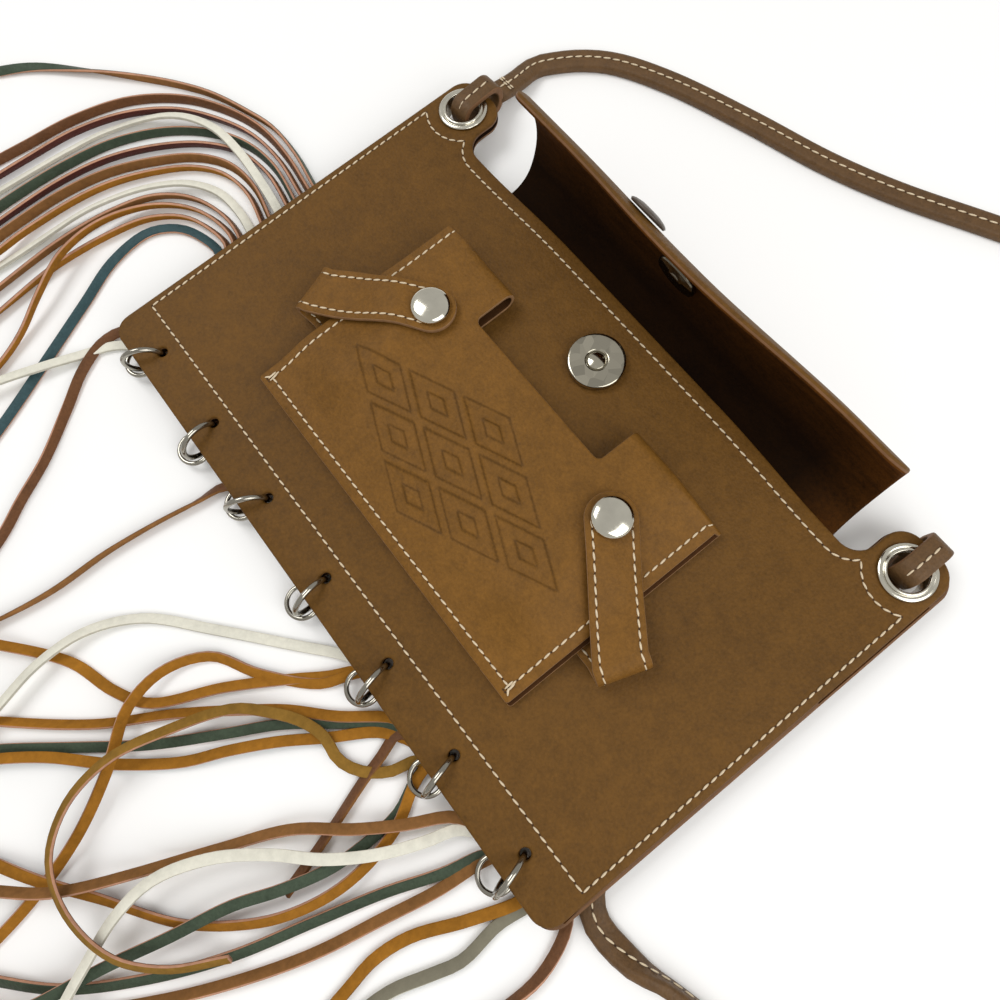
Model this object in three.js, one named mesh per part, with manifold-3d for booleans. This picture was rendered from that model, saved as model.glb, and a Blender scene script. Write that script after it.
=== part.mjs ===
// A fringe crossbody bag that lies on its back: two stitched leather panels, a flap that stands up from
// the mouth, a card holder under two snap tabs, seven pairs of rings with leather thongs, and a long strap.
// Millimetres, +Z up. X runs along the bag's width, Y from its ring edge to its mouth.

import * as THREE from 'three';
import { mergeVertices } from 'three/addons/utils/BufferGeometryUtils.js';
import Module from 'manifold-3d';

const wasm = await Module();
wasm.setup();

// Body: two panels of one outline, sewn together, with a little room between them
const LEATHER = 2.0;
const SEAM_GAP = 0.3;
const HALF_WIDTH = 111.6;
const BACK_MARGIN = 1.5;
const BOTTOM_Y = -14.5;
const MOUTH_Y = 114.8;
const CORNER_RADIUS = 6;
const EAR_TOP_Y = 132.6;
const EAR_INNER_X = 90.5;
const EAR_RADIUS = 7;
const BACK_Z = 6.0;
const FRONT_Z = BACK_Z + LEATHER + SEAM_GAP;
const FRONT_SWELL = 3.6;
const BACK_SAG = 2.0;
const SWELL_EDGE_X = 80;
const SWELL_RISE_X = 45;
const SWELL_RISE_Y = 35;
const PANEL_CELL = 24;
const TRIM = 1;
const ARC_SEGMENTS = 3;

// Flap: a tongue of the back panel that leads out of the mouth and curls up in two arcs
const FLAP_LEFT_X = -67;
const FLAP_RIGHT_X = 81.5;
const FLAP_LEAD = 1.2;
const FLAP_ARCS = [
  { radius: 11, turn: 65 },
  { radius: 32.5, turn: 70 },
];
// Its free edge waves: in towards the bag near the middle and out again on the right
const FLAP_WAVE_IN = { depth: 1.3, from: -45, over: 45 };
const FLAP_WAVE_OUT = { depth: 3.3, from: 5, over: 57 };
const FLAP_CORNER = 8;
const FLAP_TAPER = 3.4;
const FLAP_SETTLE = 14;
const FLAP_CELL = 7;

// Eyelets in the ears
const GROMMET_X = 101.3;
const GROMMET_Y = 122.6;
const GROMMET_OUTER = 8.3;
const GROMMET_INNER = 5.65;
const GROMMET_WALL = 0.7;
const GROMMET_RIM = 1.0;
const CLEAR = 0.3;

// Card holder: one leather sleeve folded at its top, symmetric about HOLDER_X
const HOLDER_X = -0.6;
const HOLDER_HALF_WIDTH = 62.2;
const HOLDER_Y = 13.9;
const HOLDER_HEIGHT = 72;
const HOLDER_SEAT = 0.8;
const HOLDER_LEATHER = 1.3;
const HOLDER_GAP = 4.8;
const HOLDER_SIDE_RISE = 22;
const HOLDER_BOTTOM_RISE = 36;
const FOLD_ROWS = 4;
const HOLDER_CELL = 13;
const NOTCH_X = -2.9;
const NOTCH_HALF_WIDTH = 28;
const NOTCH_DEPTH = 11;
const NOTCH_RADIUS = 2;
// The holder's top left corner curls up off the panel
const CURL_RISE = 5;
const CURL_X = { from: -40, over: 18 };
const CURL_Y = { from: 48, over: 18 };

// Tabs: sewn to the panel under the holder, bent round its side and snapped down on it
const TAB_WIDTH = 15;
const TAB_LEATHER = 1.8;
const TAB_ROOT_X = 48;
const TAB_BEND_X = 70.9;
const TAB_BEND_Y = 44.6;
const TAB_TILT = 36.2;
const TAB_BEND_LENGTH = 12;
const TAB_CAP_REACH = 37.4;
const TAB_CELL = 6;
const TAB_TIP = 0.95;
const TAB_SEAT = 0.9;
// The holder rides over the tabs' sewn ends: where that lift starts and how far it takes to rise
const TAB_LIFT_X = { from: 30, rise: 14 };
const TAB_LIFT_Y = { from: 24, rise: 14 };
const CAP_RADIUS = 6;
const CAP_HEIGHT = 2.4;
const CAP_SEAT = 0.6;

// Magnetic catch
const MAGNET_Y = 95.9;
const MAGNET_RADIUS = 8.8;
const MAGNET_HEIGHT = 2.6;
const MAGNET_RECESS = 3.3;
const FLAP_MAGNET_S = 36;
const FLAP_MAGNET_RADIUS = 7.2;
const FLAP_STUD_X = -16;
const FLAP_STUD_S = 44;
const FLAP_STUD_RADIUS = 6.5;
const FLAP_SEAT = 0.4;

// Rings: one through the bag's bottom edge, one on it that carries the thongs
const RING_COUNT = 7;
const RING_PITCH = 31;
const RING_HOLE_Y = -6;
const RING_HOLE_RADIUS = 2.0;
const RING_RADIUS = 6.4;
const RING_WIRE = 0.85;
const RING_SLACK = 0.4;
const LINK_RADIUS = 4.9;
const LINK_WIRE = 0.75;
const LINK_Z = 3.6;
const LINK_REACH = 10.3;
const LINK_ASIDE = 2.5;
const LINK_SIDES = 10;
const WIRE_SIDES = 5;
// Turn of each panel ring about its hole, and the side of its link where the thongs sit
const RINGS = [
  { yaw: -24, head: 115 },
  { yaw: 12, head: 130 },
  { yaw: -24, head: 115 },
  { yaw: 12, head: 130 },
  { yaw: 14, head: 130 },
  { yaw: 14, head: 130 },
  { yaw: 14, head: 130 },
];

// Thongs: flat leather strips that lie over each other in this order
const THONG_WIDTH = 3.2;
const THONG_LEATHER = 1.2;
const THONG_STEP = 21;
const THONG_CLEAR = 0.4;
const LEAN_LENGTH = 25;
const HEAD_INNER = 1.35;
const HEAD_OUTER = 2.2;
const HEAD_REACH = 35;
const HEAD_Z = 1.5;
const DRAPE_CELL = 1;
const DRAPE_STEP = 1;
const DRAPE_MARGIN = 0.3;
const DRAPE_SLOPE = 0.4;
const DRAPE_WINDOW = 0.6;
const FLOOR_CLEAR = 0.05;

// Strap: a stitched flat strap with a loop through each eyelet
const STRAP_WIDTH = 7.5;
const STRAP_THICK = 3.6;
const STRAP_CHAMFER = 1.1;
const STRAP_STEP = 24;
const STRAP_Z = 1.85;
const LOOP_LEATHER = 2.0;
const LOOP_LOW_Z = 2.2;
const LOOP_HIGH_Z = 13.9;
const LOOP_START = -2.6;
const LOOP_RADIUS = 4.5;
const LEAD_LENGTH = 8;
const LEAD_Z = [6.4, 4.6];
const LEFT_LOOP = { reach: 15, heading: 94 };
const RIGHT_LOOP = { reach: 13.8, heading: 90 };
// The strap lies on its edge for a stretch before it runs under the bag, as distances from its end
const EDGE_ROLL = 90;
const EDGE_NEAR = { from: 138, over: 24 };
const EDGE_FAR = { from: 260, over: 70 };

const COLOURS = {
  leather: 0x6f4c22,
  suede: 0x4a2f17,
  strap: 0x6b4a2c,
  metal: 0xc9c6bf,
  thong: 0x9a6a2c,
};

const rad = THREE.MathUtils.degToRad;
const lerp = THREE.MathUtils.lerp;

function ease(t) {
  const c = THREE.MathUtils.clamp(t, 0, 1);
  return c * c * (3 - 2 * c);
}

// Solids: closed geometry in and out of the boolean kernel

function toSolid(geometry) {
  const bare = geometry.index ? geometry.toNonIndexed() : geometry.clone();
  for (const name of Object.keys(bare.attributes)) {
    if (name !== 'position') bare.deleteAttribute(name);
  }
  const merged = mergeVertices(bare, 1e-4);
  return new wasm.Manifold(new wasm.Mesh({
    numProp: 3,
    vertProperties: new Float32Array(merged.attributes.position.array),
    triVerts: new Uint32Array(merged.index.array),
  }));
}

function toGeometry(solid) {
  const mesh = solid.getMesh();
  const geometry = new THREE.BufferGeometry();
  geometry.setAttribute('position', new THREE.BufferAttribute(new Float32Array(mesh.vertProperties), 3));
  geometry.setIndex(new THREE.BufferAttribute(new Uint32Array(mesh.triVerts), 1));
  return geometry;
}

// Moves every vertex of a flat or straight blank to its formed place
function formed(geometry, place) {
  const position = geometry.attributes.position;
  for (let i = 0; i < position.count; i += 1) {
    const p = place(position.getX(i), position.getY(i), position.getZ(i));
    position.setXYZ(i, p.x, p.y, p.z);
  }
  geometry.deleteAttribute('normal');
  geometry.deleteAttribute('uv');
  return geometry;
}

// A sheet of leather: a grid of cells, each corner set by its place across, along and through the sheet
function sheet(columns, rows, thickness, place) {
  const grid = new THREE.BoxGeometry(1, 1, thickness, columns, rows, 1);
  return toSolid(formed(grid, (u, v, h) => place(u + 0.5, v + 0.5, h + thickness / 2)));
}

// A straight-sided block of a drawn outline, to trim a formed sheet with
function trimBlock(shape, low, high) {
  const settings = { depth: high - low, bevelEnabled: false, curveSegments: ARC_SEGMENTS };
  return new THREE.ExtrudeGeometry(shape, settings).translate(0, 0, low);
}

// Surfaces of the body

function swell(x, y) {
  return ease((SWELL_EDGE_X - Math.abs(x)) / SWELL_RISE_X) * ease(y / SWELL_RISE_Y);
}

function backUnder(x, y) {
  return BACK_Z - BACK_SAG * swell(x, y);
}

function frontTop(x, y) {
  return FRONT_Z + LEATHER + FRONT_SWELL * swell(x, y);
}

// Outline shared by both panels, from the left neck round the bag to the right neck
function traceBody(path, side) {
  const earOuter = side - EAR_RADIUS;
  const earInner = EAR_INNER_X + EAR_RADIUS;
  const earArcY = EAR_TOP_Y - EAR_RADIUS;
  const neckX = EAR_INNER_X - EAR_RADIUS;
  const filletY = MOUTH_Y + EAR_RADIUS;
  const cornerX = side - CORNER_RADIUS;
  const cornerY = BOTTOM_Y + CORNER_RADIUS;
  const right = Math.PI / 2;
  path.moveTo(-neckX, MOUTH_Y);
  path.absarc(-neckX, filletY, EAR_RADIUS, -right, -Math.PI, true);
  path.absarc(-earInner, earArcY, EAR_RADIUS, 0, right, false);
  path.absarc(-earOuter, earArcY, EAR_RADIUS, right, Math.PI, false);
  path.absarc(-cornerX, cornerY, CORNER_RADIUS, Math.PI, Math.PI + right, false);
  path.absarc(cornerX, cornerY, CORNER_RADIUS, -right, 0, false);
  path.absarc(earOuter, earArcY, EAR_RADIUS, 0, right, false);
  path.absarc(earInner, earArcY, EAR_RADIUS, right, Math.PI, false);
  path.absarc(neckX, filletY, EAR_RADIUS, 0, -right, true);
  path.closePath();
}

function punchHoles(shape) {
  for (let i = 0; i < RING_COUNT; i += 1) {
    shape.holes.push(circle(ringX(i), RING_HOLE_Y, RING_HOLE_RADIUS));
  }
  for (const side of [-1, 1]) {
    shape.holes.push(circle(side * GROMMET_X, GROMMET_Y, GROMMET_INNER + GROMMET_WALL + CLEAR));
  }
}

function circle(x, y, radius) {
  const half = Math.PI;
  return new THREE.Path().absarc(x, y, radius, 0, half).absarc(x, y, radius, half, 2 * half);
}

function ringX(i) {
  return (i - (RING_COUNT - 1) / 2) * RING_PITCH;
}

const PANEL_COLUMNS = Math.ceil(2 * HALF_WIDTH / PANEL_CELL);

// One panel, from the height of its underside and half its width
function panel(under, halfWidth) {
  const rows = Math.ceil((EAR_TOP_Y - BOTTOM_Y) / PANEL_CELL);
  const leather = sheet(PANEL_COLUMNS, rows, LEATHER, (u, v, h) => {
    const x = acrossPanel(u);
    const y = lerp(BOTTOM_Y - TRIM, EAR_TOP_Y + TRIM, v);
    return new THREE.Vector3(x, y, under(x, y) + h);
  });
  const outline = new THREE.Shape();
  traceBody(outline, halfWidth);
  punchHoles(outline);
  return leather.intersect(toSolid(trimBlock(outline, 0, FRONT_Z + LEATHER + 2 * FRONT_SWELL)));
}

function acrossPanel(u) {
  const reach = HALF_WIDTH + BACK_MARGIN + TRIM;
  return lerp(-reach, reach, u);
}

function frontPanel() {
  return toGeometry(panel((x, y) => frontTop(x, y) - LEATHER, HALF_WIDTH));
}

// Point of the flap's outer face at a distance along it from the mouth, with the way it runs there
function flapAt(s) {
  let y = MOUTH_Y + Math.min(s, FLAP_LEAD);
  let z = BACK_Z;
  let heading = 0;
  let left = s - FLAP_LEAD;
  for (const { radius, turn } of FLAP_ARCS) {
    const length = radius * rad(turn);
    const swept = THREE.MathUtils.clamp(left, 0, length) / radius;
    y += radius * (Math.sin(heading + swept) - Math.sin(heading));
    z += radius * (Math.cos(heading) - Math.cos(heading + swept));
    heading += swept;
    left -= length;
  }
  return { y, z, heading };
}

const FLAP_LENGTH = FLAP_LEAD + FLAP_ARCS.reduce((sum, arc) => sum + arc.radius * rad(arc.turn), 0);

// How far the flap leans out of its plain curl, most at its free edge
function flapWave(x, s) {
  const inward = FLAP_WAVE_IN.depth * ease((x - FLAP_WAVE_IN.from) / FLAP_WAVE_IN.over);
  const outward = FLAP_WAVE_OUT.depth * ease((x - FLAP_WAVE_OUT.from) / FLAP_WAVE_OUT.over);
  return (outward - inward) * (Math.max(s, 0) / FLAP_LENGTH) ** 2;
}

function backPanelFlap() {
  const rows = Math.ceil(FLAP_LENGTH / FLAP_CELL);
  const tongue = sheet(PANEL_COLUMNS, rows, LEATHER, (u, v, h) => {
    const x = acrossPanel(u);
    const s = lerp(-FLAP_LEAD, FLAP_LENGTH, v);
    const at = flapAt(s);
    const sag = BACK_SAG * swell(x, MOUTH_Y) * (1 - ease(s / FLAP_SETTLE));
    const y = at.y + flapWave(x, s) - h * Math.sin(at.heading);
    return new THREE.Vector3(x, y, at.z - sag + h * Math.cos(at.heading));
  });
  const end = flapAt(FLAP_LENGTH);
  const outline = new THREE.Shape();
  const small = FLAP_CORNER / 2;
  outline.moveTo(FLAP_LEFT_X, 0);
  outline.lineTo(FLAP_RIGHT_X, 0);
  const cornerX = FLAP_RIGHT_X - FLAP_TAPER - FLAP_CORNER;
  outline.absarc(cornerX, end.z - FLAP_CORNER, FLAP_CORNER, 0, Math.PI / 2, false);
  outline.absarc(FLAP_LEFT_X + small, end.z - small, small, Math.PI / 2, Math.PI, false);
  outline.closePath();
  const block = trimBlock(outline, -2 * MOUTH_Y, 0).rotateX(Math.PI / 2);
  return toGeometry(panel(backUnder, HALF_WIDTH + BACK_MARGIN).add(tongue.intersect(toSolid(block))));
}

// Eyelet: one turned piece with a rim above the front panel and one below the back panel
function grommet() {
  const low = BACK_Z - CLEAR;
  const high = FRONT_Z + LEATHER + CLEAR;
  const tube = GROMMET_INNER + GROMMET_WALL;
  const lip = 0.35;
  const profile = [
    [GROMMET_INNER, low - GROMMET_RIM + lip], [GROMMET_INNER + lip, low - GROMMET_RIM],
    [GROMMET_OUTER - lip, low - GROMMET_RIM], [GROMMET_OUTER, low - lip], [GROMMET_OUTER - lip, low],
    [tube, low], [tube, high], [GROMMET_OUTER - lip, high], [GROMMET_OUTER, high + lip],
    [GROMMET_OUTER - lip, high + GROMMET_RIM], [GROMMET_INNER + lip, high + GROMMET_RIM],
    [GROMMET_INNER, high + GROMMET_RIM - lip],
  ];
  profile.push(profile[0]);
  return turned(profile, 12);
}

// A lathe about Z from (radius, height) pairs
function turned(profile, sides) {
  const lathe = new THREE.LatheGeometry(profile.map(([r, z]) => new THREE.Vector2(r, z)), sides);
  lathe.rotateX(Math.PI / 2);
  return toGeometry(toSolid(lathe));
}

// Card holder

function tabLift(x, y) {
  const across = ease((Math.abs(x - HOLDER_X) - TAB_LIFT_X.from) / TAB_LIFT_X.rise);
  const along = ease((TAB_LIFT_Y.from - Math.abs(y - TAB_BEND_Y)) / TAB_LIFT_Y.rise);
  return (TAB_LEATHER + CLEAR) * across * along;
}

function cornerCurl(x, y) {
  const across = ease((CURL_X.from - x) / CURL_X.over);
  const along = ease((y - CURL_Y.from) / CURL_Y.over);
  return CURL_RISE * across * along;
}

function holderUnder(x, y) {
  return frontTop(x, y) + HOLDER_SEAT + tabLift(x, y) + cornerCurl(x, y);
}

function holderGap(x, y) {
  const fromSide = ease((HOLDER_HALF_WIDTH - Math.abs(x - HOLDER_X)) / HOLDER_SIDE_RISE);
  const fromBottom = ease((y - HOLDER_Y) / HOLDER_BOTTOM_RISE);
  return CLEAR + (HOLDER_GAP - CLEAR) * fromSide * fromBottom;
}

function holderTop(x, y) {
  return holderUnder(x, y) + 2 * HOLDER_LEATHER + holderGap(x, y);
}

// Where the leaves run into the fold: the nose is straight, so they run on where the sleeve is flatter
function foldAt(x) {
  const foldY = HOLDER_Y + HOLDER_HEIGHT;
  return foldY + (HOLDER_GAP - holderGap(x, foldY)) / 2;
}

// One strip folded over at the top: front leaf, fold and back leaf, with the notch cut through the fold
function cardHolder() {
  const columns = Math.ceil(2 * HOLDER_HALF_WIDTH / HOLDER_CELL);
  const leafRows = Math.ceil(HOLDER_HEIGHT / HOLDER_CELL);
  const rows = 2 * leafRows + FOLD_ROWS;
  const strip = sheet(columns, rows, HOLDER_LEATHER, (u, v, h) => {
    const x = HOLDER_X + lerp(-HOLDER_HALF_WIDTH, HOLDER_HALF_WIDTH, u);
    const foldY = foldAt(x);
    const row = v * rows;
    if (row < leafRows + 0.5) {
      const y = lerp(HOLDER_Y, foldY, row / leafRows);
      return new THREE.Vector3(x, y, holderUnder(x, y) + HOLDER_LEATHER + holderGap(x, y) + h);
    }
    if (row > rows - leafRows - 0.5) {
      const y = lerp(HOLDER_Y, foldY, (rows - row) / leafRows);
      return new THREE.Vector3(x, y, holderUnder(x, y) + HOLDER_LEATHER - h);
    }
    const radius = holderGap(x, foldY) / 2 + h;
    const middle = holderUnder(x, foldY) + HOLDER_LEATHER + holderGap(x, foldY) / 2;
    const angle = Math.PI * (row - leafRows) / FOLD_ROWS;
    return new THREE.Vector3(x, foldY + radius * Math.sin(angle), middle + radius * Math.cos(angle));
  });
  const notchY = HOLDER_Y + HOLDER_HEIGHT;
  const notch = roundedBox(
    NOTCH_X - NOTCH_HALF_WIDTH, notchY - NOTCH_DEPTH, NOTCH_X + NOTCH_HALF_WIDTH, notchY + NOTCH_DEPTH,
    NOTCH_RADIUS, new THREE.Shape(),
  );
  return toGeometry(strip.subtract(toSolid(trimBlock(notch, 0, 4 * HOLDER_GAP + FRONT_Z))));
}

function roundedBox(x0, y0, x1, y1, radius, path) {
  const quarter = Math.PI / 2;
  path.moveTo(x0 + radius, y0);
  path.absarc(x1 - radius, y0 + radius, radius, -quarter, 0, false);
  path.absarc(x1 - radius, y1 - radius, radius, 0, quarter, false);
  path.absarc(x0 + radius, y1 - radius, radius, quarter, 2 * quarter, false);
  path.absarc(x0 + radius, y0 + radius, radius, 2 * quarter, 3 * quarter, false);
  path.closePath();
  return path;
}

// Tabs

const TAB_LOWER = TAB_BEND_X - TAB_ROOT_X;
const TAB_CAP_S = TAB_LOWER + TAB_BEND_LENGTH + TAB_CAP_REACH;

// Place on a tab at s along it, w across it and h through its leather, on one side of the holder.
// Its bend lies slanted across it, so that both edges run straight on from the bend.
function tabPlace(side, s, w, h) {
  const bendX = HOLDER_X + side * TAB_BEND_X;
  const tilt = rad(TAB_TILT);
  const slant = Math.tan(tilt / 2) * w;
  const turn = THREE.MathUtils.clamp((s - slant - TAB_LOWER) / TAB_BEND_LENGTH, 0, 1);
  if (turn <= 0) {
    const x = bendX - side * (TAB_LOWER - s);
    const y = TAB_BEND_Y + w;
    return new THREE.Vector3(x, y, frontTop(x, y) + CLEAR + h);
  }
  if (turn >= 1) {
    const run = s - TAB_LOWER - TAB_BEND_LENGTH;
    const x = bendX + side * (w * Math.sin(tilt) - run * Math.cos(tilt));
    const y = TAB_BEND_Y + w * Math.cos(tilt) + run * Math.sin(tilt);
    return new THREE.Vector3(x, y, overHolder(x, y) + TAB_LEATHER - h);
  }
  const bend = new THREE.Vector2(bendX + side * slant, TAB_BEND_Y + w);
  const lowZ = frontTop(bend.x, bend.y) + CLEAR + TAB_LEATHER;
  const highZ = overHolder(bend.x, bend.y);
  const angle = Math.PI * turn;
  const radius = (highZ - lowZ) / 2 + TAB_LEATHER - h;
  const outward = new THREE.Vector2(side * Math.cos(tilt / 2), -Math.sin(tilt / 2));
  bend.addScaledVector(outward, radius * Math.sin(angle));
  return new THREE.Vector3(bend.x, bend.y, (highZ + lowZ) / 2 - radius * Math.cos(angle));
}

// Height that a tab's underside keeps over the holder, carried on level past the holder's side
function overHolder(x, y) {
  const limit = HOLDER_HALF_WIDTH;
  const nearest = HOLDER_X + THREE.MathUtils.clamp(x - HOLDER_X, -limit, limit);
  return holderTop(nearest, y) + TAB_SEAT;
}

function tab(side) {
  const half = TAB_WIDTH / 2;
  const rows = Math.ceil((TAB_CAP_S + half) / TAB_CELL);
  const columns = 4;
  return toGeometry(sheet(columns, rows, TAB_LEATHER, (u, v, h) => {
    const s = (TAB_CAP_S + TAB_TIP * half) * v;
    const past = Math.max(s - TAB_CAP_S, 0) / half;
    const w = lerp(-half, half, u) * Math.sqrt(1 - past ** 2);
    return tabPlace(side, s, -side * w, h);
  }));
}

// Sets a cap square on its tab
function seatCap(cap, side) {
  const seat = tabPlace(side, TAB_CAP_S, 0, 0);
  const spot = (ds, dw) => tabPlace(side, TAB_CAP_S + ds * CAP_RADIUS, dw * CAP_RADIUS, 0);
  const along = spot(-1, 0).sub(spot(1, 0));
  const across = spot(0, -1).sub(spot(0, 1));
  const normal = along.cross(across).normalize();
  if (normal.z < 0) normal.negate();
  cap.quaternion.setFromUnitVectors(new THREE.Vector3(0, 0, 1), normal);
  cap.position.copy(seat).addScaledVector(normal, CAP_SEAT);
}

function snapCap() {
  return turned([[0, 0], [CAP_RADIUS - 0.6, 0], [CAP_RADIUS, 0.5], [CAP_RADIUS - 0.3, 1.2],
    [CAP_RADIUS - 1.6, 1.9], [CAP_RADIUS / 2, CAP_HEIGHT - 0.1], [0, CAP_HEIGHT]], 12);
}

// Catch

function magnetSocket() {
  const rim = 0.5;
  const floor = 2.0;
  return turned([
    [0, 0], [MAGNET_RADIUS - rim, 0], [MAGNET_RADIUS, rim], [MAGNET_RADIUS, MAGNET_HEIGHT - rim],
    [MAGNET_RADIUS - rim, MAGNET_HEIGHT], [MAGNET_RECESS, MAGNET_HEIGHT], [MAGNET_RECESS, floor], [0, floor],
  ], 18);
}

function flapMagnet() {
  const rim = 0.4;
  return turned([[0, 0], [FLAP_MAGNET_RADIUS - rim, 0], [FLAP_MAGNET_RADIUS, rim],
    [FLAP_MAGNET_RADIUS - rim, 1.8], [2.7, 1.8], [2.5, 2.3], [0, 2.3]], 16);
}

function flapStud() {
  return turned([[0, 0], [FLAP_STUD_RADIUS - 0.4, 0], [FLAP_STUD_RADIUS, 0.6],
    [FLAP_STUD_RADIUS - 1.2, 1.3], [FLAP_STUD_RADIUS / 2, 1.7], [0, 1.8]], 16);
}

// Rings

function ringFrame(i) {
  const { yaw, head } = RINGS[i];
  const hole = new THREE.Vector3(ringX(i), RING_HOLE_Y, (BACK_Z + FRONT_Z + LEATHER) / 2);
  const outward = onPlan(yaw - 90, 1);
  const aside = onPlan(yaw - 180, 1);
  const centre = hole.clone().addScaledVector(outward, RING_RADIUS + RING_SLACK);
  const linkCentre = hole.clone().addScaledVector(outward, LINK_REACH).addScaledVector(aside, LINK_ASIDE);
  linkCentre.setZ(LINK_Z);
  const headCentre = linkCentre.clone().add(onPlan(head, LINK_RADIUS));
  return { yaw, centre, linkCentre, headCentre, headTurn: head };
}

function onPlan(heading, length) {
  return new THREE.Vector3(Math.cos(rad(heading)) * length, Math.sin(rad(heading)) * length, 0);
}

function panelRing() {
  const torus = new THREE.TorusGeometry(RING_RADIUS, RING_WIRE, WIRE_SIDES, LINK_SIDES);
  torus.rotateY(Math.PI / 2);
  return toGeometry(toSolid(torus));
}

function linkRing() {
  return toGeometry(toSolid(new THREE.TorusGeometry(LINK_RADIUS, LINK_WIRE, WIRE_SIDES, LINK_SIDES)));
}

// Thongs, a row each in the order that they lie: the ring, the lean of the strip in degrees where it leaves
// the bag, half way on and at its free end, and its way over the floor from the ring's head to that end

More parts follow.
